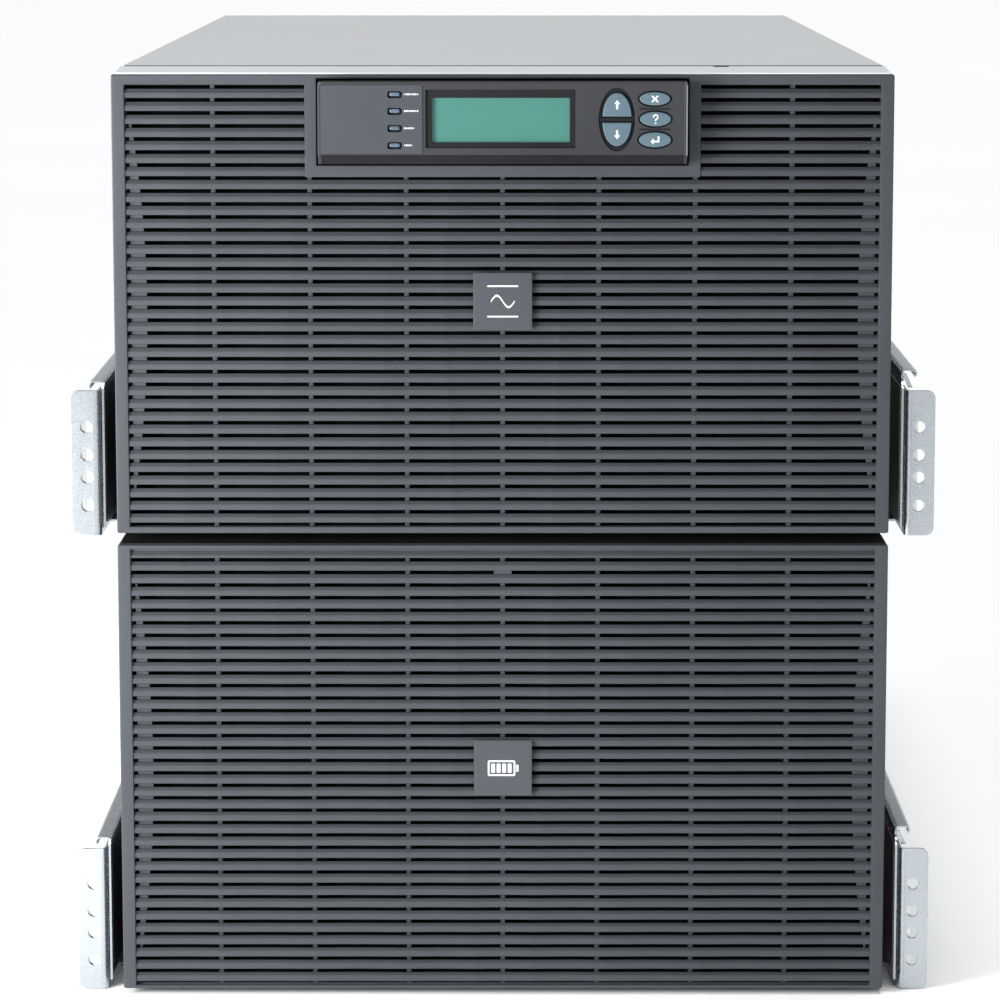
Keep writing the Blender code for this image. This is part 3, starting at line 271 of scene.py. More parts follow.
class Build:
    """Gathers closed shapes into one mesh, which then becomes a piece that rides on a body."""

    def __init__(self, *finishes):
        self.whole = bmesh.new()
        self.finishes = finishes

    def take(self, part, finish=0, turn=None):
        if turn is not None:
            part.transform(turn)
        if finish is not None:
            for face in part.faces:
                face.material_index = finish
        held = bpy.data.meshes.new("held")
        part.to_mesh(held)
        part.free()
        self.whole.from_mesh(held)
        bpy.data.meshes.remove(held)
        return self

    def box(self, low, high, edge=0.0005, finish=0, steps=2, turn=None):
        """A box between two corners with rounded edges."""
        low, high = Vector(map(min, low, high)), Vector(map(max, low, high))
        size = high - low
        part = bmesh.new()
        shape = Matrix.Translation((low + high) / 2) @ Matrix.Diagonal((*size, 1.0))
        bmesh.ops.create_cube(part, size=1.0, matrix=shape)
        edge = min(edge, 0.45 * min(size))
        if edge > 0:
            bmesh.ops.bevel(part, geom=part.edges[:], offset=edge, segments=steps, profile=0.5,
                            affect="EDGES")
        return self.take(part, finish, turn)

    def lathe(self, start, axis, profile, sides=32, finish=0):
        """A solid turned round an axis from (distance along it, radius) pairs."""
        part = bmesh.new()
        rings = []
        for along, radius in profile:
            outline = circle(0.0, 0.0, max(radius, 1e-5), sides)
            rings.append([part.verts.new((x, y, along)) for x, y in outline])
        for low, high in zip(rings, rings[1:]):
            for i in range(sides):
                j = (i + 1) % sides
                part.faces.new((low[i], low[j], high[j], high[i]))
        part.faces.new(rings[0][::-1])
        part.faces.new(rings[-1])
        return self.take(part, finish, facing(start, axis))

    def rod(self, start, axis, length, radius, edge=0.0004, sides=32, finish=0):
        """A cylinder with rounded ends."""
        e = min(edge, 0.45 * radius, 0.45 * length)
        ends = [(0.0, radius - e), (0.3 * e, radius - 0.3 * e), (e, radius)]
        ends += [(length - e, radius), (length - 0.3 * e, radius - 0.3 * e), (length, radius - e)]
        return self.lathe(start, axis, ends, sides, finish)

    def prism(self, loops, plane, low, high, edge=0.0004, finish=0, turn=None):
        """An outline with holes, thickened between two depths along x, y or z, with rounded rims."""
        curve = bpy.data.curves.new("outline", "CURVE")
        curve.dimensions = "2D"
        curve.fill_mode = "BOTH"
        edge = min(edge, 0.45 * (high - low))
        curve.extrude = (high - low) / 2 - edge
        curve.bevel_depth = edge
        curve.bevel_resolution = 1
        curve.offset = -edge
        for loop in loops:
            line = curve.splines.new("POLY")
            line.points.add(len(loop) - 1)
            for point, (x, y) in zip(line.points, loop):
                point.co = (x, y, 0.0, 1.0)
            line.use_cyclic_u = True
        guide = bpy.data.objects.new("outline", curve)
        bpy.context.scene.collection.objects.link(guide)
        mesh = bpy.data.meshes.new_from_object(guide.evaluated_get(bpy.context.evaluated_depsgraph_get()))
        bpy.data.objects.remove(guide, do_unlink=True)
        bpy.data.curves.remove(curve)
        part = bmesh.new()
        part.from_mesh(mesh)
        bpy.data.meshes.remove(mesh)
        bmesh.ops.remove_doubles(part, verts=part.verts, dist=2e-6)
        middle = (low + high) / 2
        lay = {
            "x": Matrix(((0, 0, 1, middle), (1, 0, 0, 0), (0, 1, 0, 0), (0, 0, 0, 1))),
            "y": Matrix(((1, 0, 0, 0), (0, 0, -1, middle), (0, 1, 0, 0), (0, 0, 0, 1))),
            "z": Matrix.Translation((0, 0, middle)),
        }[plane]
        return self.take(part, finish, lay if turn is None else turn @ lay)

    def skin(self, rings, finish=0, bands=()):
        """A closed, capped skin over rings of points; bands gives the finish of each strip along it."""
        part = bmesh.new()
        rows = [[part.verts.new(point) for point in ring] for ring in rings]
        count = len(rows[0])
        for low, high in zip(rows, rows[1:]):
            for i in range(count):
                j = (i + 1) % count
                made = part.faces.new((low[i], low[j], high[j], high[i]))
                made.material_index = bands[i] if i < len(bands) else finish
        part.faces.new(rows[0][::-1])
        part.faces.new(rows[-1])
        return self.take(part, None if bands else finish)

    def screw(self, place, axis, radius=0.003, finish=0, height=0.0016):
        """A pan head with a cross recess, on a washer flange."""
        turn = facing(place, axis)
        arm, wide = radius * 0.58, radius * 0.16
        cross = cross_outline(arm, wide)
        self.prism([circle(0, 0, radius * 1.15, 24)], "z", 0.0, height * 0.45, 0.0001, finish, turn)
        return self.prism([circle(0, 0, radius, 24), cross], "z", height * 0.4, height, 0.0003, finish, turn)

    def screws(self, xs, zs, y, axis, radius, finish, head):
        """A grid of equal screws."""
        for x in xs:
            for z in zs:
                self.screw((x, y, z), axis, radius, finish, head)

    def mesh(self, name):
        """What was gathered, as a mesh with the finishes in its slots."""
        bmesh.ops.recalc_face_normals(self.whole, faces=self.whole.faces)
        mesh = bpy.data.meshes.new(name)
        self.whole.to_mesh(mesh)
        self.whole.free()
        for finish in self.finishes:
            mesh.materials.append(finish)
        return mesh

    def place(self, name, body, slot, node_name):
        """Hangs the piece on a body, where it stands for a CAD node."""
        mesh = self.mesh(name)
        mesh.shade_smooth()
        mesh.set_sharp_from_angle(angle=SHARP_ANGLE)
        made = bpy.data.objects.new(name, mesh)
        bpy.context.scene.collection.objects.link(made)
        weighted = made.modifiers.new("even_shading", "WEIGHTED_NORMAL")
        weighted.keep_sharp = True
        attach(made, body)
        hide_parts(node_name)


# ---------------------------------------------------------------- camera, light and stage

CAMERA_PLACE = (0.004, -2.4, 0.628)
CAMERA_DOWN = 7.7            # degrees below level
CAMERA_LENS, CAMERA_SENSOR = 132.0, 36.0
CAMERA_SHIFT = (-0.01, -0.128)
camera_data = bpy.data.cameras.new("camera")
camera = bpy.data.objects.new("camera", camera_data)
bpy.context.scene.collection.objects.link(camera)
camera.location = CAMERA_PLACE
camera.rotation_euler = (math.radians(90 - CAMERA_DOWN), 0.0, 0.0)
camera_data.lens = CAMERA_LENS
camera_data.sensor_width = CAMERA_SENSOR
camera_data.shift_x, camera_data.shift_y = CAMERA_SHIFT
camera_data.clip_start = 0.05
camera_data.clip_end = 200.0
bpy.context.scene.camera = camera

world = bpy.data.worlds.new("studio")
world.use_nodes = True
sky = world.node_tree
upward = node(sky, "ShaderNodeSeparateXYZ", {"Vector": node(sky, "ShaderNodeTexCoord").outputs["Generated"]})
height = span(sky, upward.outputs["Z"], -0.1, 0.6, 0.0, 1.0)
glow = ramp(sky, height, [(0.2, (1.0, 1.0, 1.0)), (0.55, (0.27, 0.28, 0.29))])
sky.links.new(glow, sky.nodes["Background"].inputs["Color"])
bpy.context.scene.world = world


def add_light(name, kind, place, power):
    lamp = bpy.data.lights.new(name, kind)
    lamp.energy = power
    made = bpy.data.objects.new(name, lamp)
    made.location = place
    bpy.context.scene.collection.objects.link(made)
    return made


KEY_PLACE = (-0.95, -1.05, 0.42)
KEY_AIM = (0, -0.3, 0.28)
KEY_SIZE = 0.5
KEY_POWER, OVERHEAD_POWER = 28, 2.3
OVERHEAD_SPREAD = 25         # degrees
key_light = add_light("key_light", "AREA", KEY_PLACE, KEY_POWER)
key_light.rotation_euler = (Vector(KEY_AIM) - Vector(KEY_PLACE)).to_track_quat("-Z", "Y").to_euler()
key_light.data.shape = "RECTANGLE"
key_light.data.size = key_light.data.size_y = KEY_SIZE
overhead = add_light("overhead", "SUN", (0.0, 0.0, 3.0), OVERHEAD_POWER)
overhead.data.angle = math.radians(OVERHEAD_SPREAD)

FLOOR = surface("floor_paper", (0.97, 0.97, 0.97), 0.85, shade=0.01, patch=1.5, grain=200.0, bump=0.02)
FLOOR_REACH = 90.0
FLOOR_DROP = 0.0005          # keeps the floor clear of the rails' undersides
ground = Build(FLOOR)
ground.box((-FLOOR_REACH, -FLOOR_REACH, -0.02), (FLOOR_REACH, FLOOR_REACH, 0.0), 0.002)
floor = bpy.data.objects.new("studio_floor", ground.mesh("studio_floor"))
floor.location = (0.0, 0.0, -FLOOR_DROP)
bpy.context.scene.collection.objects.link(floor)

# ---------------------------------------------------------------- bezels

SLOT_COUNT = 35
SLOT_HEIGHT = 0.0021
SIDE_BORDER = 0.0072
GRILLE_DEPTH = 0.006
NOTCH = 0.0022               # open end of each slot before the side web
WEB_WIDTH = 0.011           # side web at its widest, half-way up
RIB_PITCH = 0.0532
RIB_HALF = 0.00125
SKIRT_WALL = 0.0025
DISPLAY_GAP = 0.0014         # between the display module and its opening
DISPLAY_STRIP = 0.0065       # plain strip round that opening
FILTER_DEPTH = 0.0134
FILTER_BORDER = 0.0085
CREASE_STEPS = (0.0, 0.0006, 0.0014, 0.0024, 0.0036)
SLAT_BANDS = (3, 3, 3, 0)     # finishes of a slat's top and of its recessed upper band: a darker copy of the bezel plastic, painted shade
RIDGE_HEIGHT = 0.0001
RIDGE_WIDTH = 0.0018
FLUTE_DEPTH = 0.0003         # hollow of the slats' faces between two creases
LENS_DEPTH = 0.0002          # further hollow inside the innermost crease
LENS_EDGE = 0.003           # width over which it deepens
SLAT_SETBACK = 0.0008

# Roughly where the bezel's soft creases run: half distance from the middle against drop under its top, in mm.
CREASES = {
    "upper": (((0, 20), (100, 33), (252, 27)), ((0, 52), (100, 63), (252, 72)), ((0, 108), (252, 129)),
              ((0, 180), (130, 169), (252, 178))),
    "lower": (((0, 28), (106, 24), (146, 33), (147, 23), (252, 15)), ((0, 72), (146, 64), (252, 57)),
              ((0, 130), (146, 119), (252, 111)), ((0, 180), (252, 157))),
}
LENS = {"upper": (126, 252), "lower": (22, 112)}     # drops between which the innermost hollow is deeper
FIRST_SLOT = {"upper": 0.0068, "lower": 0.0086}
SLOT_PITCH = 0.00717


def crease_places(which, drop):
    return [np.interp(drop * 1000, *zip(*line)) / 1000 for line in CREASES[which]]


def slat_depth(which, x, drop, places):
    """How far a slat's face lies behind the frame's: hollows between the creases, a thin ridge on each."""
    ends = [0.0, *places, 0.21]
    side = abs(x)
    hollow = 0.0
    for low, high in zip(ends, ends[1:]):
        if low <= side < high:
            share = (side - low) / (high - low) if low else 0.5 + 0.5 * side / high
            hollow = FLUTE_DEPTH * math.sin(math.pi * share) ** 2
    ridge = sum(RIDGE_HEIGHT * math.exp(-(((side - place) / RIDGE_WIDTH) ** 2)) for place in places)
    top, bottom = LENS[which]
    inward = min(1.0, max(0.0, (places[0] - side) / LENS_EDGE)) if top < drop * 1000 < bottom else 0.0
    return SLAT_SETBACK + hollow - ridge + LENS_DEPTH * inward


def slat(build, which, front, left, right, top, bottom, drop):
    """One louvre: a recessed upper band, then a step out to its face, following the bezel's relief; its top
    and upper band carry painted shade.
    """
    places = crease_places(which, drop)
    stations = set(np.linspace(left, right, max(4, int((right - left) / 0.0075))))
    for place in places:
        for sign in (-1, 1):
            for step in (*CREASE_STEPS, *(-step for step in CREASE_STEPS)):
                if left < sign * place + step < right:
                    stations.add(sign * place + step)
    profile = [
        (GRILLE_DEPTH, top - 0.001),
        (0.0012, top),
        (0.00085, top - 0.0002),
        (0.00065, top - 0.0016),
        (0.00015, top - 0.00205),
        (0.0, top - 0.00255),
        (0.0, bottom + 0.0006),
        (0.00012, bottom + 0.0002),
        (0.00045, bottom),
        (GRILLE_DEPTH, bottom),
    ]
    rings = []
    for x in sorted(stations):
        back = slat_depth(which, x, drop, places)
        rings.append([(x, front + (y + back if y < GRILLE_DEPTH else y), z) for y, z in profile])
    build.skin(rings, 0, SLAT_BANDS)


def bezel_piece(which, body):
    name = f"{which}_bezel"
    low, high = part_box(name)
    front, half = low.y, high.x
    inner = half - SIDE_BORDER
    build = Build(BEZEL, BLACK_AND_PAINTED_SHADE, FOAM_AND_PAINTED_SHADE, BEZEL_PAINTED_SHADE)
    rows = [high.z - FIRST_SLOT[which] - i * SLOT_PITCH for i in range(SLOT_COUNT)]
    opening_top, opening_bottom = rows[0] + SLOT_HEIGHT / 2, rows[-1] - SLOT_HEIGHT / 2
    if which == "lower":
        opening_top = high.z - 0.0024
    opening = box_outline(-inner, opening_bottom, inner, opening_top)
    loops = [rounded(-half, low.z, half, high.z, 0.0012)]
    gap, foot, strip = 0.0, 0.0, 0.0
    if which == "upper":
        shown_low, shown_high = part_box("display_housing")
        gap = shown_high.x + DISPLAY_GAP
        foot = shown_low.z - DISPLAY_GAP
        strip = gap + DISPLAY_STRIP
        strip_foot = foot - DISPLAY_STRIP
        opening = [(-inner, opening_bottom), (inner, opening_bottom), (inner, opening_top),
                   (strip, opening_top),
                   (strip, strip_foot), (-strip, strip_foot), (-strip, opening_top), (-inner, opening_top)]
        loops.append(box_outline(-gap, foot, gap, high.z - 0.0021))
    loops.append(opening)
    build.prism(loops, "y", front, front + GRILLE_DEPTH, 0.0008)
    wall = SKIRT_WALL
    skirt = [rounded(-half + 0.00005, low.z + 0.00005, half - 0.00005, high.z - 0.00005, 0.0012),
             rounded(-half + wall, low.z + wall, half - wall, high.z - wall, 0.0006)]
    build.prism(skirt, "y", front + 0.0035, high.y, 0.0003)

    slots = [(z + SLOT_HEIGHT / 2, z - SLOT_HEIGHT / 2) for z in rows]
    bands = [(above[1], below[0]) for above, below in zip(slots, slots[1:])]
    if which == "lower":
        bands.insert(0, (opening_top - 0.0014, slots[0][0]))
        build.box((-inner, front + 0.0022, opening_top - 0.0025), (inner, front + GRILLE_DEPTH, opening_top),
                  0.0)
    for top, bottom in bands:
        drop = high.z - (top + bottom) / 2
        spans = [(-inner, inner)]
        if which == "upper" and top > strip_foot:
            spans = [(-inner, -strip), (strip, inner)]
        for left, right in spans:
            slat(build, which, front, left, right, top, bottom, drop)

    middle, tall = (opening_top + opening_bottom) / 2, (opening_top - opening_bottom) / 2
    for side in (-1, 1):
        heights = np.linspace(opening_bottom, opening_top, 41)
        curve = [(side * (inner - WEB_WIDTH * (1 - ((z - middle) / tall) ** 2)), z) for z in heights]
        curve = [(x, z) for x, z in curve if abs(x) < inner - NOTCH - 0.0002]
        edge_line = [(side * (inner - NOTCH), curve[-1][1]), (side * (inner - NOTCH), curve[0][1])]
        build.prism([curve + edge_line], "y", front + 0.003, front + GRILLE_DEPTH, 0.0002)

    for step in range(-3, 4):
        x = step * RIB_PITCH
        top = strip_foot if which == "upper" and abs(x) < strip else opening_top
        build.box((x - RIB_HALF, front + 0.0036, opening_bottom - 0.001),
                  (x + RIB_HALF, front + 0.013, top + 0.001), 0.0004)
    # Foam sheets behind the grille, near-black so the slots read as shade: partly painted shade.
    filter_y, edge = front + FILTER_DEPTH, half - FILTER_BORDER
    down, up = low.z + 0.003, high.z - 0.003
    sheets = [(-edge, down, edge, up)]
    if which == "upper":
        sheets = [(-edge, down, edge, foot - 0.001), (-edge, foot - 0.0012, -gap - 0.001, up),
                  (gap + 0.001, foot - 0.0012, edge, up)]
    for left, down, right, up in sheets:
        build.box((left, filter_y, down), (right, filter_y + 0.004, up), 0.0008, 2)
    if which == "lower":
        tab = rows[1]
        build.box((-0.005, front + 0.0026, tab - 0.0014), (0.005, front + 0.006, tab + 0.0014), 0.0003)
    for x in (-half + 0.005, half - 0.005):
        for z in (low.z + 0.02, (low.z + high.z) / 2, high.z - 0.02):
            build.rod((x, front + GRILLE_DEPTH - 0.001, z), BACKWARD, 0.026, 0.0021)
            build.lathe((x, front + 0.03, z), BACKWARD, [(0.0, 0.0015), (0.0012, 0.0021), (0.0036, 0.0012)],
                        20, 1)
    build.place(f"{which}_bezel_shell", body, "bezel_plastic", name)
    return low, high


def badge_piece(which, body, marks):
    name = f"{which}_badge"
    low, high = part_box(name)
    build = Build(BADGE, WHITE)
    shape = front_of(low, high, 0.001)
    build.prism([shape], "y", low.y, high.y, 0.00025)
    rim = [front_of(low, high, 0.0006, 0.0009)]
    build.prism(rim, "y", low.y - 0.00008, low.y + 0.0004, 0.00006)
    for loops in marks((low.x + high.x) / 2, (low.z + high.z) / 2):
        build.prism(loops, "y", low.y - 0.00016, low.y, 0.00002, 1)
    build.place(f"{which}_badge_plate", body, "badge", name)


def wave_marks(x, z):
    """A generic alternating-current sign between two bars."""
    turns = np.linspace(0.0, 2 * math.pi, 33)
    line = [(x - 0.0065 + 0.013 * t / (2 * math.pi), z + 0.0032 * math.sin(t)) for t in turns]
    band = [(u, v + 0.0006) for u, v in line] + [(u, v - 0.0006) for u, v in reversed(line)]
    bars = [[box_outline(x - 0.0085, z + h, x + 0.0085, z + h + 0.0009)] for h in (0.008, -0.0089)]
    return [[band], *bars]


def battery_marks(x, z):
    """A generic battery sign."""
    case = [rounded(x - 0.0085, z - 0.0045, x + 0.007, z + 0.0045, 0.001),
            rounded(x - 0.0075, z - 0.0035, x + 0.006, z + 0.0035, 0.0005)]
    tip = [rounded(x + 0.0074, z - 0.002, x + 0.0088, z + 0.002, 0.0004)]
    cells = [[rounded(x - 0.0066 + i * 0.0031, z - 0.0026, x - 0.0044 + i * 0.0031, z + 0.0026, 0.0003)]
             for i in range(4)]
    return [case, tip, *cells]


bezel_piece("upper", "upper_bezel")
bezel_piece("lower", "lower_bezel")
badge_piece("upper", "upper_bezel", wave_marks)
badge_piece("lower", "lower_bezel", battery_marks)

# ---------------------------------------------------------------- display module

display_low, display_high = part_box("display_housing")
DISPLAY_FACE = display_low.y
DISPLAY_TOP = display_high.z
KEYS = {
    "key_up": (0.0624, 0.0122, 0.0158, 0.013, 1),
    "key_down": (0.0624, 0.0284, 0.0158, 0.013, -1),
    "key_escape": (0.083, 0.009, 0.0168, 0.0073, 0),
    "key_help": (0.0834, 0.02, 0.017, 0.008, 0),
    "key_enter": (0.0832, 0.0313, 0.0176, 0.0083, 0),
}
CURSOR_OVAL = (0.0624, 0.0203, 0.0198, 0.0346)
LCD_FRAME = (-0.042, 0.0398, 0.004, 0.0358)
LCD_GLASS = (-0.0388, 0.0366, 0.0086, 0.033)
LED_X = (-0.0625, -0.0553)
LED_DROPS = (0.0065, 0.0156, 0.025, 0.0343)


def ribbon(points, width):
    """The outline of a line of points drawn this wide, with mitred corners."""
    spots = [Vector(point) for point in points]
    left, right = [], []
    for i, spot in enumerate(spots):
        before = (spot - spots[i - 1]).normalized() if i else (spots[1] - spot).normalized()
        after = (spots[i + 1] - spot).normalized() if i + 1 < len(spots) else before
        along = (before + after).normalized()
        side = Vector((-along.y, along.x)) * width / 2 / max(0.5, along.dot(after))
        left.append(tuple(spot + side))
        right.append(tuple(spot - side))
    return left + right[::-1]


def key_icon(name, x, z):
    """The mark on a key's cap: outlines that do not cross or touch."""
    if name in ("key_up", "key_down"):
        up = 1 if name == "key_up" else -1
        half_arrow = [(0.0, 0.0026), (0.0017, 0.0004), (0.0006, 0.0004), (0.0006, -0.0024)]
        arrow = half_arrow + [(-u, v) for u, v in half_arrow[:0:-1]]
        return [[(x + u, z + up * v) for u, v in arrow]]
    if name == "key_escape":
        arm, wide = 0.0024, 0.00042
        cross = cross_outline(arm, wide)
        lean = math.sqrt(0.5)
        return [[(x + lean * (u - v), z + lean * (u + v)) for u, v in cross]]
    if name == "key_help":
        hook = arc(x, z + 0.0011, 0.0012, 190, -50, 9) + [(x, z - 0.0003), (x, z - 0.0011)]
        return [ribbon(hook, 0.0007), circle(x, z - 0.0022, 0.00045, 14)]
    turned = [(-0.0026, -0.0009), (-0.0008, 0.0009), (-0.0008, -0.0004), (0.0013, -0.0004), (0.0013, 0.002),
              (0.0023, 0.002), (0.0023, -0.0014), (-0.0008, -0.0014), (-0.0008, -0.0027)]
    return [[(x + u, z + v) for u, v in turned]]


SMALL_KEYS = ("key_escape", "key_help", "key_enter")


def key_outline(name, grow=0.0):
    """A key's outline, or that of a well this much wider and taller."""
    x, drop, width, height, half_key = KEYS[name]
    return key_shape(half_key, x, DISPLAY_TOP - drop, width + grow, height + grow)


def widened(window, margin):
    x0, x1, drop0, drop1 = window
    return x0 - margin, x1 + margin, drop0 - margin, drop1 + margin


def drop_box(x0, x1, drop0, drop1, radius=0.0004):
    return rounded(x0, DISPLAY_TOP - drop1, x1, DISPLAY_TOP - drop0, radius)


def display_pieces():
    low, high, face, top = display_low, display_high, DISPLAY_FACE, DISPLAY_TOP
    chamfer = 0.005
    foot = low.z
    cap = 0.0022
    half = high.x
    build = Build(DISPLAY, BLACK_AND_PAINTED_SHADE, GREY)
    holes = [drop_box(*LCD_FRAME), drop_box(LED_X[0] - 0.001, LED_X[1] + 0.001, 0.0035, 0.0373)]
    cx, drop, width, height = CURSOR_OVAL
    holes.append(oval(cx, top - drop, width, height))
    holes += [key_outline(name, 0.0016) for name in SMALL_KEYS]
    plate = rounded(-half + cap - 0.0001, foot + chamfer, half - cap + 0.0001, top, 0.0004)
    build.prism([plate, *holes], "y", face, face + 0.003, 0.0003)
    side = [(face, foot + chamfer), (face + chamfer, foot), (high.y, foot), (high.y, top),
            (face + 0.0015, top), (face, top - 0.0015)]
    for sign in (-1, 1):
        build.prism([side], "x", *between(sign, half - cap, half), 0.0005)
    # A near-black skin over the lower chamfer: painted shade on the down-facing face.
    chamfer_painted_shade = [(face, foot + chamfer + 0.0004), (face, foot + chamfer), (face + chamfer, foot), (high.y, foot),
             (high.y, foot + 0.002), (face + chamfer + 0.001, foot + 0.002), (face + 0.003, foot + chamfer)]
    build.prism([chamfer_painted_shade], "x", -half + cap, half - cap, 0.0002, 1)
    # A lighter grey strip down the face's right edge: painted highlight.
    build.box((half - 0.0008, face - 0.0001, foot + chamfer), (half, face + 0.0008, top - 0.0015), 0.0002, 2)
    build.box((-half + cap, face + 0.002, top - 0.002), (half - cap, high.y, top), 0.0004)

    slope = [drop_box(*widened(LCD_FRAME, 0.0008)), drop_box(*LCD_GLASS)]
    build.prism(slope, "y", face + 0.0011, face + 0.0034, 0.0004, 1)
    wells = [key_outline(name, 0.0007) for name in ("key_up", "key_down")]
    build.prism([oval(cx, top - drop, width + 0.002, height + 0.002), *wells], "y", face + 0.0008,
                face + 0.003, 0.0003, 1)
    build.box((cx - width / 2 + 0.001, face + 0.0003, top - drop - 0.001),
              (cx + width / 2 - 0.001, face + 0.0016, top - drop + 0.001), 0.0003, 1)
    for name in SMALL_KEYS:
        build.prism([key_outline(name, 0.003), key_outline(name, 0.0007)], "y", face + 0.0007, face + 0.0028,
                    0.0002, 1)
    for kd in (0.0145, 0.0257):
        build.box((0.0745, face - 0.0003, top - kd - 0.0004), (0.0915, face + 0.0006, top - kd + 0.0004),
                  0.0002, 1)
    build.place("display_shell", "display", "display_plastic", "display_housing")

    panel = Build(FACEPLATE, WHITE)
    low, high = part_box("display_faceplate")
    window_x = (LED_X[0] - 0.0003, LED_X[1] + 0.0003)
    windows = [drop_box(*window_x, d - 0.0017, d + 0.0021, 0.0011) for d in LED_DROPS]
    panel.prism([rounded(low.x + 0.0005, low.z, high.x, high.z, 0.0008), *windows], "y", low.y, high.y,
                0.0002)
    for row, (d, run) in enumerate(zip(LED_DROPS, (7, 7, 5, 4))):
        for i in range(run):
            x = LED_X[1] + 0.0016 + i * 0.00115
            tall = 0.0005 if (i + row) % 3 else 0.00035
            panel.prism([box_outline(x, top - d - tall, x + 0.00075, top - d + tall)], "y", low.y - 0.00006,
                        low.y + 0.0001, 0.00001, 1)
    panel.place("display_face_panel", "display", "faceplate", "display_faceplate")

    lens = Build(PIPE, BLACK_AND_PAINTED_SHADE)
    low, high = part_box("led_light_pipe")
    lens.box((low.x, face + 0.0014, low.z), (high.x, high.y, high.z), 0.0004, 1)
    for d in LED_DROPS:
        z = top - d
        lens.box((LED_X[0] + 0.0007, face - 0.0006, z - 0.0011),
                 (LED_X[1] - 0.0007, face + 0.003, z + 0.0011), 0.0009, 0, 4)
    lens.place("led_lenses", "display", "light_pipe", "led_light_pipe")

    glass = Build(LCD, BLACK_AND_PAINTED_SHADE)
    low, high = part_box("lcd_window")
    glass.prism([drop_box(*widened(LCD_GLASS, 0.001))], "y", face + 0.003, face + 0.0042, 0.0002)
    glass.box((low.x, face + 0.004, low.z), (high.x, high.y, high.z), 0.0004, 1)
    glass.place("lcd_glass", "display", "lcd", "lcd_window")

    for name, (x, drop, *_) in KEYS.items():
        low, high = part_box(name)
        key = Build(KEY, WHITE)
        key.prism([key_outline(name)], "y", low.y + 0.0001, high.y, 0.0007)
        for loop in key_icon(name, x, top - drop):
            key.prism([loop], "y", low.y, low.y + 0.0006, 0.00003, 1)
        key.place(f"{name}_cap", name, "key_plastic", name)


display_pieces()

# ---------------------------------------------------------------- chassis shells

SHEET = 0.0012
SHEET_BEND = 0.002
SEAM_RISE = 0.0005
VENT_ROWS, VENT_COLUMNS = 5, 14
HOOD_DEPTH = 0.0335          # from the cover's front edge back to the seam
COVER_LIP = 0.015
LATCH_X = 0.1215
COVER_TABS = (-0.193, 0.065, 0.193)


def folded(width, drop, thick, bend, top):
    """A sheet folded down at both sides, as an outline across x and z."""
    outer = [(-width, top - drop)] + arc(-width + bend, top - bend, bend, 180, 90) + arc(
        width - bend, top - bend, bend, 90, 0) + [(width, top - drop)]
    inner_bend = bend - thick
    inner = [(width - thick, top - drop)] + arc(width - bend, top - bend, inner_bend, 0, 90) + arc(
        -width + bend, top - bend, inner_bend, 90, 180) + [(-width + thick, top - drop)]
    return outer + inner


def cover_piece(word, node_name):
    """Cover with folded sides behind a sloping hood; black strips at the seam between the two are painted
    shade for the shaded step there.
    """
    low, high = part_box(node_name)
    half, top, rear = high.x, high.z, high.y
    seam = low.y + HOOD_DEPTH
    bezel_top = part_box("upper_bezel" if word == "ups" else "lower_bezel")[1].z
    build = Build(COVER, SCREW, BLACK_AND_PAINTED_SHADE, HOOD)
    build.prism([folded(half, COVER_LIP, SHEET, SHEET_BEND, top)], "y", seam + 0.0005, rear, 0.0002)
    hood = [(low.y, bezel_top + 0.0009), (low.y, bezel_top + 0.0002), (low.y + 0.001, bezel_top + 0.0001),
            (seam - 0.0006, top - 0.0016), (seam - 0.0006, top - 0.0005), (seam - 0.0016, top - 0.0004)]
    # On the battery pack the hood takes the near-black finish: painted shade for the dark gap between the
    # bezels.
    build.prism([hood], "x", -half + 0.0002, half - 0.0002, 0.0001, 3 if word == "ups" else 2)
    # Black strips along the seam: painted shade for the step between hood and cover.
    build.box((-half + 0.004, seam - 0.004, top - 0.0028), (half - 0.004, seam + 0.008, top - 0.0014), 0.0002,
              2)
    build.box((-half + 0.0022, seam - 0.0001, top - 0.0014), (half - 0.0022, seam + 0.0007, top - 0.0001),
              0.0, 2)
    latch = rounded(LATCH_X - 0.0044, seam - 0.0052, LATCH_X + 0.0044, seam + 0.0004, 0.0012)
    build.prism([latch], "z", top - 0.0016, top - 0.0004, 0.0001, 2)
    for x in COVER_TABS:
        build.prism([rounded(x - 0.0016, seam + 0.003, x + 0.0016, seam + 0.0062, 0.0012)], "z", top - 0.0005,
                    top - 0.00001, 0.0001, 1)
    for side in (-1, 1):
        for y in np.linspace(low.y + 0.06, rear - 0.03, 6):
            build.screw((side * (half - 0.0006), y, top - 0.0085), (side, 0, 0), 0.0026, 1, 0.0006)
    build.place(f"{word}_cover", "ups", "cover_paint", node_name)


cover_piece("ups", "ups_top_cover")
cover_piece("pack", "pack_top_cover")


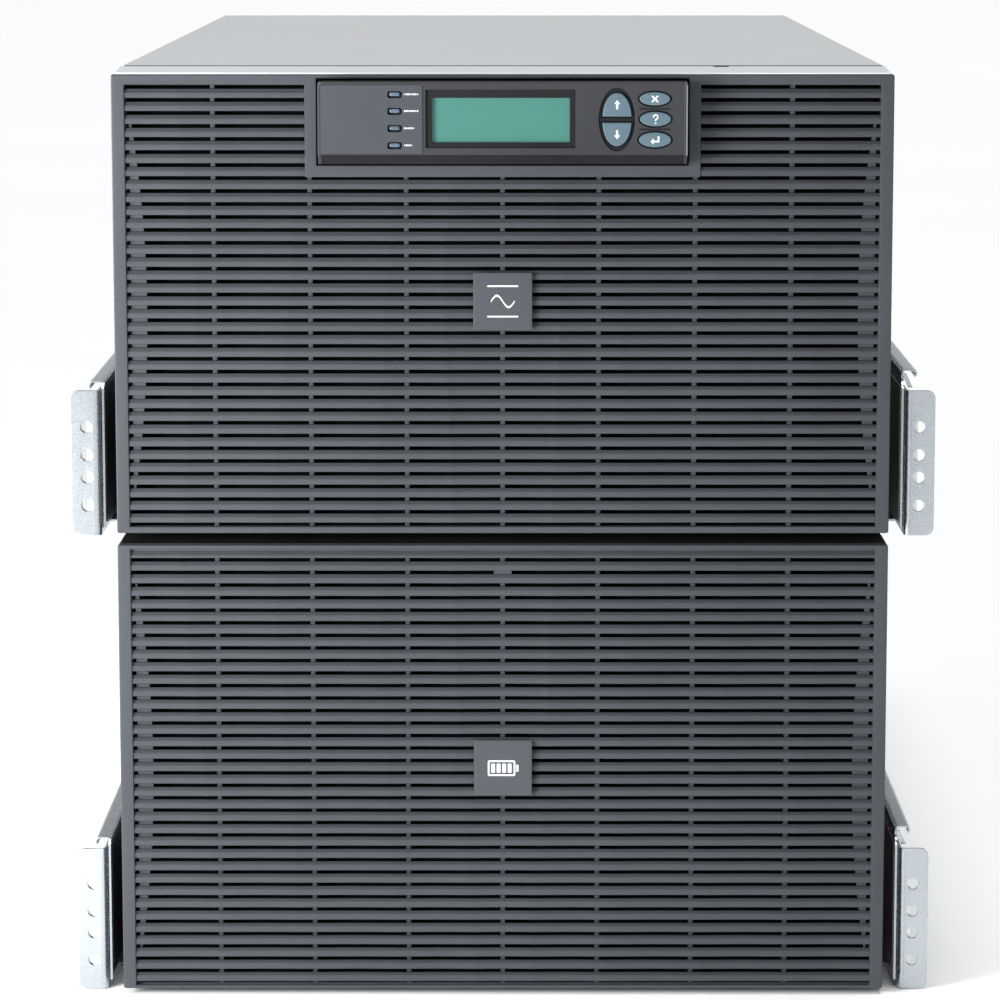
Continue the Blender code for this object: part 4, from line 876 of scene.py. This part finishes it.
def tray_piece(word, node_name):
    """Folded tray: a floor with two walls, each with pressed seams, rivets, and vents drawn as black patches
    (painted shade).
    """
    low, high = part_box(node_name)
    half = high.x
    build = Build(STEEL, SCREW, BLACK_AND_PAINTED_SHADE)
    sheet = folded(half, high.z - low.z, SHEET, SHEET_BEND, high.z)
    outline = [(x, low.z + high.z - z) for x, z in sheet]
    build.prism([outline[::-1]], "y", low.y, high.y, 0.0002)
    for side in (-1, 1):
        for z in (low.z + 0.1, low.z + 0.16, low.z + 0.22):
            build.prism([rounded(low.y + 0.03, z - 0.003, high.y - 0.03, z + 0.003, 0.0028)], "x",
                        *between(side, half, half + SEAM_RISE), 0.0003)
        # The vents are thin black patches on the walls, not openings: painted shade for the dark inside.
        for row in range(VENT_ROWS):
            for column in range(VENT_COLUMNS):
                y = high.y - 0.18 + column * 0.01
                z = low.z + 0.112 + row * 0.009
                build.prism([rounded(y, z, y + 0.006, z + 0.0032, 0.0014)], "x",
                            *between(side, half, half + 0.0001), 0.00004, 2)
        for y in np.linspace(low.y + 0.02, high.y - 0.02, 9):
            build.lathe((side * half, y, low.z + 0.09), (side, 0, 0),
                        [(0.0, 0.0024), (0.0005, 0.002), (0.0008, 0.0008)], 20, 1)
    build.place(f"{word}_tray", "ups", "chassis_steel", node_name)


tray_piece("ups", "ups_chassis_tray")
tray_piece("pack", "pack_chassis_tray")

# ---------------------------------------------------------------- rack rails

RAIL_SHEET = 0.0015
RAIL_HEIGHT = 0.082
BEND = 0.003
HOLE_STEPS = (0.0169, 0.032775, 0.045475, 0.06135)
HOLE_X = 0.23255
LEDGE_EDGE = 0.204
WEB_IN, WEB_OUT = 0.2247, 0.2262        # faces of the front section's web
SLIDE_IN, SLIDE_OUT = 0.2229, 0.2244    # and of the rear section's, which slides inside it


def mirror(points, side):
    return [(side * x, y) for x, y in points]


def ledge_fold(inner, outer, foot):
    """The ledge under a unit and the bend that joins it to the web, as seen along the rail."""
    return [(LEDGE_EDGE, foot), *arc(outer - BEND, foot + BEND, BEND, 270, 360), (outer, foot + 0.005),
            (inner, foot + 0.005), *arc(outer - BEND, foot + BEND, BEND - RAIL_SHEET, 360, 270),
            (LEDGE_EDGE, foot + RAIL_SHEET)]


def web_slots(places, half_length, foot):
    return [rounded(y - half_length, foot + 0.038, y + half_length, foot + 0.044, 0.0028) for y in places]


def rail_pieces(corner):
    """The two telescoping sections of one rail, folded from zinc-plated sheet."""
    side = -1 if corner.startswith("left") else 1
    low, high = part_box(f"rail_front_{corner}")
    outer = high.x if side > 0 else -low.x
    foot, flange_y, rear_end = low.z, low.y, high.y
    top = foot + RAIL_HEIGHT
    front = Build(ZINC, SCREW)
    flange = rounded(WEB_IN + BEND, foot, outer, top, 0.0045, "1001")
    holes = [circle(HOLE_X, foot + z, 0.0033, 28) for z in HOLE_STEPS]
    front.prism([mirror(flange, side), *[mirror(h, side) for h in holes]], "y", flange_y,
                flange_y + RAIL_SHEET, 0.0003)
    centre = (WEB_IN + BEND, flange_y + BEND)
    bend = arc(*centre, BEND, 180, 270, 8) + [(WEB_IN + BEND + 0.0004, flange_y)]
    bend += [(WEB_IN + BEND + 0.0004, flange_y + RAIL_SHEET)] + arc(*centre, BEND - RAIL_SHEET, 270, 180, 8)
    front.prism([mirror(bend, side)], "z", foot, top, 0.0002)
    web = [rounded(flange_y + BEND - 0.0002, foot, rear_end, top, 0.003, "1001")]
    web += web_slots(np.linspace(flange_y + 0.07, rear_end - 0.05, 6), 0.01, foot)
    front.prism(web, "x", *between(side, WEB_IN, WEB_OUT), 0.0002)
    front.prism([mirror(ledge_fold(WEB_IN, WEB_OUT, foot), side)], "y", flange_y + 0.045, rear_end - 0.0005,
                0.0002)
    for y in np.linspace(flange_y + 0.1, rear_end - 0.08, 5):
        front.lathe((side * WEB_OUT, y, foot + 0.06), (side, 0, 0),
                    [(0.0, 0.0042), (0.0006, 0.004), (0.0014, 0.0022)], 24, 1)
    # Behind the left part of each hole, on both rails, a small nickel plate: a guessed clip nut, and partly
    # painted shade for the grey seen in that part of the hole.
    for z in HOLE_STEPS:
        middle = side * HOLE_X
        front.box((middle - 0.0048, flange_y + 0.0016, foot + z - 0.0044),
                  (middle - 0.0007, flange_y + 0.0026, foot + z + 0.0044), 0.0002, 1)
    front.place(f"rail_front_section_{corner}", "ups", "zinc_rail", f"rail_front_{corner}")

    low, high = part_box(f"rail_rear_{corner}")
    nose, tail = low.y, high.y
    lip_top = high.z
    foot_top = foot + RAIL_HEIGHT + RAIL_SHEET + 0.0003
    rise = lip_top - foot_top
    lip_x = SLIDE_IN + 0.009
    rear = Build(ZINC, RAIL_LINER_PAINTED_LIGHT if side > 0 else PAINTED_SHADE_DARK)
    web_foot = foot + BEND + 0.0004
    web_loops = [[(nose, web_foot), (tail - 0.002, web_foot), (tail - 0.002, lip_top - 0.0012),
                  (nose + rise + 0.0004, lip_top - 0.0012), (nose, foot_top - 0.0012)]]
    web_loops += web_slots(np.linspace(nose + 0.11, tail - 0.06, 7), 0.014, foot)
    rear.prism(web_loops, "x", *between(side, SLIDE_IN, SLIDE_OUT), 0.0002)
    roll, sheet = 0.0024, 0.0011
    hook = [(SLIDE_IN, lip_top - 0.0052), *arc(SLIDE_IN + roll, lip_top - roll, roll, 180, 90),
            *arc(lip_x - roll, lip_top - roll, roll, 90, -60),
            *arc(lip_x - roll, lip_top - roll, roll - sheet, -60, 90),
            *arc(SLIDE_IN + roll, lip_top - roll, roll - sheet, 90, 180),
            (SLIDE_IN + sheet, lip_top - 0.0052)]
    hem_start = nose + min(rise, 0.003)
    rear.prism([mirror(hook, side)], "y", hem_start, tail - 0.002, 0.0002)
    if rise > roll + sheet:
        strip = [(SLIDE_IN, lip_top - 0.002), (SLIDE_IN + 0.0024, lip_top - 0.002),
                 (SLIDE_IN + 0.0062, foot_top - 0.001), (SLIDE_IN + 0.0036, foot_top - 0.001)]
        rear.prism([mirror(strip, side)], "y", nose, nose + RAIL_SHEET, 0.0003)
    # A thin liner on the slide's inner face: olive-grey on the right rails, painted light; near-black on the
    # left, painted shade.
    light_and_shade_liner = rounded(nose + 0.004, foot + 0.006, nose + 0.36, foot_top - 0.001, 0.001)
    rear.prism([light_and_shade_liner], "x", *between(side, SLIDE_IN - 0.0004, SLIDE_IN + 0.0002), 0.0001, 1)
    rear.prism([mirror(ledge_fold(SLIDE_IN, SLIDE_OUT, foot), side)], "y", rear_end + 0.002, tail - 0.0022,
               0.0002)
    tab = rounded(SLIDE_IN, foot + 0.0005, outer, foot + RAIL_HEIGHT, 0.0045, "1001")
    rear.prism([mirror(tab, side), *[mirror(h, side) for h in holes]], "y", tail - 0.002, tail, 0.0003)
    rear.place(f"rail_rear_section_{corner}", f"rail_rear_{corner}", "zinc_rail", f"rail_rear_{corner}")


for corner_name in ("left_upper", "right_upper", "left_lower", "right_lower"):
    rail_pieces(corner_name)

# ---------------------------------------------------------------- cooling fans and front frame

FAN_NUMBERS = (1, 2, 3)
FAN_BLADES = 7
HUB_RADIUS = 0.021
BLADE_ROOT = 0.02
BLADE_SPAN = 0.034
ROOT_PITCH, TIP_PITCH = 46, 26      # degrees
BLADE_SWEEP = 26                    # degrees, at the tip
CAMBER = ((-0.5, 0.0), (-0.25, 0.0009), (0.0, 0.0012), (0.25, 0.0009), (0.5, 0.0))
GUARD_RINGS = 4
GUARD_PITCH = 0.0125
GUARD_WIRE = 0.0007                 # half the wire's width


def fan_pieces(number):
    low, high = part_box(f"fan_frame_{number}")
    centre = (low + high) / 2
    half = (high.x - low.x) / 2
    housing = Build(BLACK_AND_PAINTED_SHADE, PAINTED_SHADE_DARK)
    corners = [(sx * (half - 0.0075), sz * (half - 0.0075)) for sx in (-1, 1) for sz in (-1, 1)]
    holes = [circle(centre.x + x, centre.z + z, 0.0022, 16) for x, z in corners]
    outline = front_of(low, high, 0.006)
    bore = circle(centre.x, centre.z, half - 0.003, 72)
    for y0, y1 in ((low.y, low.y + 0.004), (high.y - 0.004, high.y)):
        housing.prism([outline, bore, *holes], "y", y0, y1, 0.0004)
    housing.prism([circle(centre.x, centre.z, half - 0.0006, 72), bore], "y", low.y + 0.0035, high.y - 0.0035,
                  0.0002)
    housing.rod((centre.x, high.y - 0.0042, centre.z), BACKWARD, 0.004, 0.019)
    for spin in quarter_turns(centre):
        housing.box((-0.0022, 0.015, 0.017), (0.0022, 0.0186, half - 0.002), 0.0006, turn=spin)
    # The corner screws take the dark finish rather than nickel: painted shade, so they read as shade behind
    # the grille.
    for x, z in corners:
        housing.screw((centre.x + x, low.y, centre.z + z), FORWARD, 0.003, 1, 0.0004)
    housing.place(f"fan_housing_{number}", "ups", "fan_plastic", f"fan_frame_{number}")

    low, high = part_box(f"fan_rotor_{number}")
    rotor = Build(BLACK_AND_PAINTED_SHADE, PAINTED_SHADE_DARK)
    start, length = low.y, high.y - low.y
    hub = [(0.0, 0.015), (0.0006, 0.0185), (0.0022, 0.0208), (0.005, HUB_RADIUS), (length, HUB_RADIUS)]
    rotor.lathe((centre.x, start, centre.z), BACKWARD, hub, 48)
    # The hub's label disc takes the same dark finish: painted shade.
    rotor.lathe((centre.x, start - 0.0001, centre.z), BACKWARD,
                [(0.0, 0.0085), (0.0003, 0.01), (0.0006, 0.01)], 32, 1)
    for blade in range(FAN_BLADES):
        rings = []
        for share in np.linspace(0.0, 1.0, 9):
            radius = BLADE_ROOT + share * BLADE_SPAN
            pitch = math.radians(ROOT_PITCH - (ROOT_PITCH - TIP_PITCH) * share)
            sweep = math.radians(BLADE_SWEEP * share * share)
            chord = (0.86 * length) * (1.0 - 0.08 * share)
            section = [(along, lift + 0.0007) for along, lift in CAMBER]
            section += [(along, lift - 0.0005) for along, lift in reversed(CAMBER)]
            points = []
            for along, lift in section:
                turn = (along * chord * math.tan(pitch) * 0.8 + lift) / radius + sweep
                points.append((radius * math.sin(turn), along * chord + length / 2, radius * math.cos(turn)))
            rings.append(points)
        hub_turn = Matrix.Rotation(2 * math.pi * blade / FAN_BLADES, 4, "Y")
        put = Matrix.Translation((centre.x, start, centre.z)) @ hub_turn
        rotor.skin([[tuple(put @ Vector(point)) for point in points] for points in rings])
    rotor.place(f"fan_impeller_{number}", f"fan_rotor_{number}", "fan_plastic", f"fan_rotor_{number}")


for fan_number in FAN_NUMBERS:
    fan_pieces(fan_number)


def front_frame():
    low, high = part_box("ups_front_frame")
    # The frame takes the dark finish and its guard wires, spokes and screws the near-black one, so the inside
    # reads as shade through the grille: painted shade, not the parts' own colours.
    build = Build(PAINTED_SHADE_DARK, BLACK_AND_PAINTED_SHADE)
    middles = [sum(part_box(f"fan_frame_{number}"), Vector()) / 2 for number in FAN_NUMBERS]
    mouths = [circle(middle.x, middle.z, 0.056, 64) for middle in middles]
    build.prism([front_of(low, high, 0.001), *mouths], "y", low.y, high.y, 0.0002)
    for middle in middles:
        for step in range(1, GUARD_RINGS + 1):
            radius = GUARD_PITCH * step
            guard = annulus(middle.x, middle.z, radius + GUARD_WIRE, radius - GUARD_WIRE, 56)
            build.prism(guard, "y", low.y - 0.0014, low.y - 0.0002, 0.0004, 1)
        for spin in quarter_turns((middle.x, low.y, middle.z)):
            build.box((-0.0008, -0.0016, 0.012), (0.0008, 0.0002, 0.058), 0.0004, 1, turn=spin)
    heights = (low.z + 0.01, (low.z + high.z) / 2, high.z - 0.01)
    build.screws((low.x + 0.008, high.x - 0.008), heights, low.y, FORWARD, 0.0028, 1, 0.0012)
    build.place("front_frame", "ups", "chassis_steel", "ups_front_frame")


front_frame()

# ---------------------------------------------------------------- battery modules


def battery_piece(number):
    name = f"battery_module_{number}"
    low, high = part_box(name)
    middle = (low + high) / 2
    build = Build(CASE, TERMINAL, PAINTED_SHADE_DARK)
    face = low.y
    recess = centred(middle.x, middle.z, 0.065, 0.025, 0.005)
    outline = front_of(low, high, 0.003)
    build.prism([outline, recess], "y", face, face + 0.024, 0.001)
    body = front_of(low, high, 0.0028, 0.0004)
    build.prism([body], "y", face + 0.0238, high.y, 0.001)
    for y in np.linspace(face + 0.07, high.y - 0.05, 8):
        band = [front_of(low, high, 0.003), front_of(low, high, 0.002, 0.003)]
        build.prism(band, "y", y, y + 0.003, 0.0003)
    bar = [(middle.x - 0.066, 0.0), (middle.x + 0.066, 0.0)]
    rings = []
    for share in np.linspace(0.0, 1.0, 15):
        x = bar[0][0] + share * (bar[1][0] - bar[0][0])
        bulge = math.sin(math.pi * share)
        rings.append([(x, face + 0.0062 - 0.0008 * bulge + v * (0.0036 + 0.0004 * bulge),
                       middle.z + u * (0.0056 + 0.0012 * bulge)) for u, v in circle(0.0, 0.0, 1.0, 16)])
    build.skin(rings, 1)
    for i in range(9):
        x = middle.x - 0.048 + i * 0.012
        build.box((x - 0.002, face - 0.0002, middle.z - 0.04), (x + 0.002, face + 0.001, middle.z - 0.033),
                  0.0004, 1)
    inset = 0.009
    # The screws take the dark finish rather than nickel: painted shade for the modules seen through the
    # grille.
    build.screws((low.x + inset, high.x - inset), (low.z + inset, high.z - inset), face + 0.0002, FORWARD,
                 0.0028, 2, 0.001)
    build.place(f"battery_cartridge_{number}", name, "battery_case", name)


for module_number in (1, 2, 3, 4):
    battery_piece(module_number)

# ---------------------------------------------------------------- rear panels


def panel_screws(build, low, high, y):
    build.screws(np.linspace(low.x + 0.01, high.x - 0.01, 5), (low.z + 0.0075, high.z - 0.0075), y, BACKWARD,
                 0.0028, 1, 0.0014)


def cad_hole(node_name, grow=0.0005):
    low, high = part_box(node_name)
    return rounded(low.x - grow, low.z - grow, high.x + grow, high.z + grow, 0.001)


def ups_rear():
    low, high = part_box("ups_rear_panel")
    y0, y1 = low.y, high.y
    base = low.z - 0.0003
    build = Build(COVER, SCREW, BLACK_AND_PAINTED_SHADE)
    loops = [front_of(low, high, 0.001), cad_hole("battery_inlet"), cad_hole("input_breaker_body")]
    for row in range(9):
        z = base + 0.15 + row * 0.01
        for left, right in ((-0.195, -0.105), (-0.095, -0.005)):
            loops.append(rounded(left, z, right, z + 0.005, 0.0022))
    loops.append(rounded(0.0285, base + 0.1985, 0.1515, base + 0.2415, 0.001))
    loops.append(circle(0.038, base + 0.145, 0.0185, 40))
    loops.append(rounded(-0.18, base + 0.03, 0.02, base + 0.09, 0.002))
    build.prism(loops, "y", y0, y1, 0.0002)
    panel_screws(build, low, high, y1)
    mesh_z = base + 0.145
    for z in (mesh_z + i * 0.008 for i in range(13)):
        build.box((-0.2, y0 - 0.0012, z), (0.0, y0 - 0.0006, z + 0.0016), 0.0002, 2)
    for x in (-0.2 + i * 0.008 for i in range(26)):
        build.box((x, y0 - 0.0018, mesh_z), (x + 0.0014, y0 - 0.0012, mesh_z + 0.098), 0.0002, 2)
    for x, z in ((0.175, 0.11), (0.195, 0.23), (-0.2, 0.12)):
        build.prism([circle(x, base + z, 0.0048, 6)], "y", y1 - 0.0001, y1 + 0.003, 0.0004, 1)
        build.rod((x, y1, base + z), BACKWARD, 0.008, 0.0022, 0.0004, 20, 1)
    build.place("ups_rear_sheet", "ups", "cover_paint", "ups_rear_panel")

    low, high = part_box("terminal_block")
    block = Build(TERMINAL, BRASS)
    bays = [rounded(low.x + 0.003 + i * 0.0352, low.z + 0.003, low.x + 0.035 + i * 0.0352, high.z - 0.003,
                    0.0012)
            for i in range(5)]
    block.prism([front_of(low, high, 0.0015), *bays], "y", high.y - 0.019, high.y, 0.0005)
    block.box((low.x, low.y, low.z), (high.x, high.y - 0.0188, high.z), 0.0008)
    for i in range(5):
        x = low.x + 0.019 + i * 0.0352
        block.box((x - 0.01, high.y - 0.0192, low.z + 0.006), (x + 0.01, high.y - 0.017, high.z - 0.006),
                  0.0005, 1)
        block.screw((x, high.y - 0.017, (low.z + high.z) / 2), BACKWARD, 0.0062, 1, 0.003)
    block.place("terminal_strip", "ups", "terminal", "terminal_block")

    low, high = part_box("terminal_cover")
    lid = Build(COVER, SCREW, BLACK_AND_PAINTED_SHADE)
    shape = front_of(low, high, 0.003)
    inner = front_of(low, high, 0.0015, 0.002)
    lid.prism([shape, inner], "y", low.y, high.y - 0.0005, 0.0003)
    lid.prism([shape], "y", high.y - 0.002, high.y, 0.0008)
    for i in range(3):
        x = low.x + 0.05 + i * 0.06
        z = (low.z + high.z) / 2 - 0.012
        lid.prism(annulus(x, z, 0.0125, 0.0112, 40), "y", high.y - 0.0004, high.y, 0.0001, 2)
    inset = 0.01
    lid.screws((low.x + inset, high.x - inset), (high.z - inset, low.z + inset), high.y - 0.0016, BACKWARD,
               0.0034, 1, 0.0016)
    lid.place("terminal_lid", "ups", "cover_paint", "terminal_cover")


def power_connector(node_name):
    low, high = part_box(node_name)
    ways = 2
    build = Build(GREY, BLACK_AND_PAINTED_SHADE, BRASS)
    pitch = (high.x - low.x - 0.006) / ways
    bays = [rounded(low.x + 0.004 + i * pitch, low.z + 0.005, low.x + 0.002 + (i + 1) * pitch, high.z - 0.005,
                    0.002)
            for i in range(ways)]
    build.prism([front_of(low, high, 0.0025), *bays], "y", high.y - 0.023, high.y, 0.0007)
    build.box((low.x, low.y, low.z), (high.x, high.y - 0.0225, high.z), 0.001)
    for i in range(ways):
        x = low.x + 0.003 + (i + 0.5) * pitch
        build.box((x - 0.005, high.y - 0.023, (low.z + high.z) / 2 - 0.008),
                  (x + 0.005, high.y - 0.006, (low.z + high.z) / 2 + 0.008), 0.001, 2)
    for z in (low.z + 0.0022, high.z - 0.0022):
        build.box((low.x + 0.01, high.y - 0.0022, z - 0.0008), (high.x - 0.01, high.y - 0.0001, z + 0.0008),
                  0.0003, 1)
    build.place(f"{node_name}_socket", "ups", "connector", node_name)


TOGGLE_SETBACK = 0.006       # from the rear panel in to the line the toggles turn about


def breaker_pieces(word, paint):
    low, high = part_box(f"{word}_body")
    middle = (low + high) / 2
    build = Build(BLACK_AND_PAINTED_SHADE, WHITE)
    well = centred(middle.x, middle.z, 0.012, 0.013, 0.0015)
    build.prism([front_of(low, high, 0.002), well], "y", high.y - 0.017, high.y, 0.0006)
    build.box((low.x, low.y, low.z), (high.x, high.y - 0.0165, high.z), 0.001)
    build.prism([centred(middle.x, middle.z, 0.015, 0.016, 0.002), well], "y",
                high.y - 0.0002, high.y + 0.0004, 0.0002, 0)
    build.prism([box_outline(middle.x - 0.0004, middle.z + 0.019, middle.x + 0.0004, middle.z + 0.025)], "y",
                high.y - 0.0001, high.y + 0.00008, 0.00002, 1)
    build.prism(annulus(middle.x, middle.z - 0.022, 0.0032, 0.0024, 32), "y",
                high.y - 0.0001, high.y + 0.00008, 0.00002, 1)
    build.place(f"{word}_case", "ups", "switch_plastic", f"{word}_body")

    node_name = f"{word}_toggle"
    low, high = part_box(node_name)
    pivot = Vector((middle.x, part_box("ups_rear_panel")[1].y - TOGGLE_SETBACK, middle.z))
    toggle = Build(BLACK_AND_PAINTED_SHADE, paint)
    toggle.rod((low.x + 0.0001, pivot.y, pivot.z), (1, 0, 0), high.x - low.x - 0.0002, 0.005, 0.0003)
    lean = Matrix.Translation(pivot) @ Matrix.Rotation(math.radians(20), 4, "X")
    toggle.box((-0.009, 0.002, -0.0025), (0.009, 0.017, 0.0025), 0.001, 1, 3, lean)
    for i in range(3):
        y = 0.009 + i * 0.0026
        toggle.box((-0.008, y, -0.0028), (0.008, y + 0.001, 0.0028), 0.0003, 1, 2, lean)
    toggle.place(f"{word}_lever", node_name, "switch_plastic", node_name)


def bypass_pieces():
    low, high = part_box("bypass_switch_body")
    middle = (low + high) / 2
    build = Build(BLACK_AND_PAINTED_SHADE, WHITE)
    bore = circle(middle.x, middle.z, 0.0045, 24)
    build.prism([circle(middle.x, middle.z, 0.018, 56), bore], "y", high.y - 0.006, high.y, 0.0008)
    build.rod((middle.x, low.y, middle.z), BACKWARD, high.y - low.y - 0.015, 0.0178, 0.0006, 48)
    for i in range(3):
        turn = math.radians(90 - 45 * i)
        spot = Vector((middle.x + 0.015 * math.cos(turn), middle.z + 0.015 * math.sin(turn)))
        build.prism([circle(spot.x, spot.y, 0.0008, 16)], "y", high.y - 0.0001, high.y + 0.0001, 0.00002, 1)
    build.place("bypass_switch_case", "ups", "switch_plastic", "bypass_switch_body")
    low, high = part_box("bypass_knob")
    knob = Build(BLACK_AND_PAINTED_SHADE, WHITE)
    knob.rod((middle.x, low.y, middle.z), BACKWARD, high.y - low.y - 0.003, 0.0042, 0.0003)
    grip_y = high.y - 0.0064
    knob.box((middle.x - 0.005, grip_y, middle.z - 0.016), (middle.x + 0.005, high.y, middle.z + 0.016),
             0.0016, 0, 3)
    knob.box((middle.x - 0.0006, high.y - 0.0003, middle.z + 0.003),
             (middle.x + 0.0006, high.y, middle.z + 0.014), 0.0001, 1)
    knob.place("bypass_grip_knob", "bypass_knob", "switch_plastic", "bypass_knob")


def card_pieces():
    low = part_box("network_card")[0]
    panel_low, panel_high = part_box("ups_rear_panel")
    panel_y = panel_high.y
    build = Build(BOARD, COVER, BLACK_AND_PAINTED_SHADE, SCREW, PIPE, BRASS)
    base = panel_low.z - 0.0003
    build.box((0.029, low.y, base + 0.205), (0.151, panel_y - 0.001, base + 0.2066), 0.0002)
    sockets = ((0.045, 0.062), (0.075, 0.092))
    holes = [rounded(a + 0.0004, base + 0.2064, b - 0.0004, base + 0.2196, 0.0004) for a, b in sockets]
    holes += [circle(x, base + 0.213, 0.0016, 16) for x in (0.101, 0.107)]
    bracket_y = panel_y + 0.0003
    plate = rounded(0.02, base + 0.194, 0.16, base + 0.246, 0.0015)
    build.prism([plate, *holes], "y", bracket_y, bracket_y + 0.0016, 0.0002, 1)
    for a, b in sockets:
        shell = [rounded(a, base + 0.206, b, base + 0.22, 0.0004),
                 rounded(a + 0.0016, base + 0.208, b - 0.0016, base + 0.2184, 0.0004)]
        build.prism(shell, "y", panel_y - 0.018, panel_y + 0.004, 0.0003, 3)
        build.box((a + 0.001, panel_y - 0.02, base + 0.2066), (b - 0.001, panel_y - 0.012, base + 0.2195),
                  0.0004, 2)
        for i in range(8):
            x = a + 0.0032 + i * 0.0014
            build.box((x, panel_y - 0.0125, base + 0.2178), (x + 0.0006, panel_y + 0.001, base + 0.2183),
                      0.0001, 5)
    for x in (0.101, 0.107):
        build.rod((x, panel_y - 0.004, base + 0.213), BACKWARD, 0.007, 0.0014, 0.0005, 16, 4)
    for x in (0.0265, 0.1535):
        build.rod((x, bracket_y + 0.0014, base + 0.22), BACKWARD, 0.0075, 0.0046, 0.0008, 24, 2)
        build.screw((x, bracket_y + 0.0089, base + 0.22), BACKWARD, 0.003, 3, 0.001)
    for x, y, wide, deep in ((0.06, -0.09, 0.022, 0.022), (0.105, -0.07, 0.014, 0.02),
                             (0.12, -0.11, 0.01, 0.016)):
        build.box((x - wide / 2, panel_y + y - deep / 2, base + 0.2064),
                  (x + wide / 2, panel_y + y + deep / 2, base + 0.2084), 0.0004, 2)
    build.place("network_card_assembly", "network_card", "circuit_board", "network_card")


def pack_rear():
    low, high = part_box("pack_rear_panel")
    build = Build(COVER, SCREW)
    loops = [front_of(low, high, 0.001), cad_hole("battery_outlet"), cad_hole("pack_breaker_body")]
    build.prism(loops, "y", low.y, high.y, 0.0002)
    panel_screws(build, low, high, high.y)
    for x in (-0.15, 0.0):
        for z in (low.z + 0.07, low.z + 0.15):
            build.prism([centred(x, z, 0.05, 0.025, 0.006)], "y", high.y - 0.0002, high.y + 0.0006, 0.0004)
    build.place("pack_rear_sheet", "ups", "cover_paint", "pack_rear_panel")


ups_rear()
power_connector("battery_inlet")
power_connector("battery_outlet")
breaker_pieces("input_breaker", BLACK_AND_PAINTED_SHADE)
breaker_pieces("pack_breaker", RED)
bypass_pieces()
card_pieces()
pack_rear()

# ---------------------------------------------------------------- CAD nodes that stay

STAYING = {
    "pack_shelf": STEEL,
    "heatsink_left": FINS,
    "heatsink_right": FINS,
    "power_board": BOARD,
    "control_board": BOARD,
    "display_board": BOARD,
    "capacitor_bank": SLEEVE,
    "input_choke": COPPER,
    "output_choke": COPPER,
}
for node_name, finish in STAYING.items():
    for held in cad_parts[node_name].material_slots:
        held.material = finish
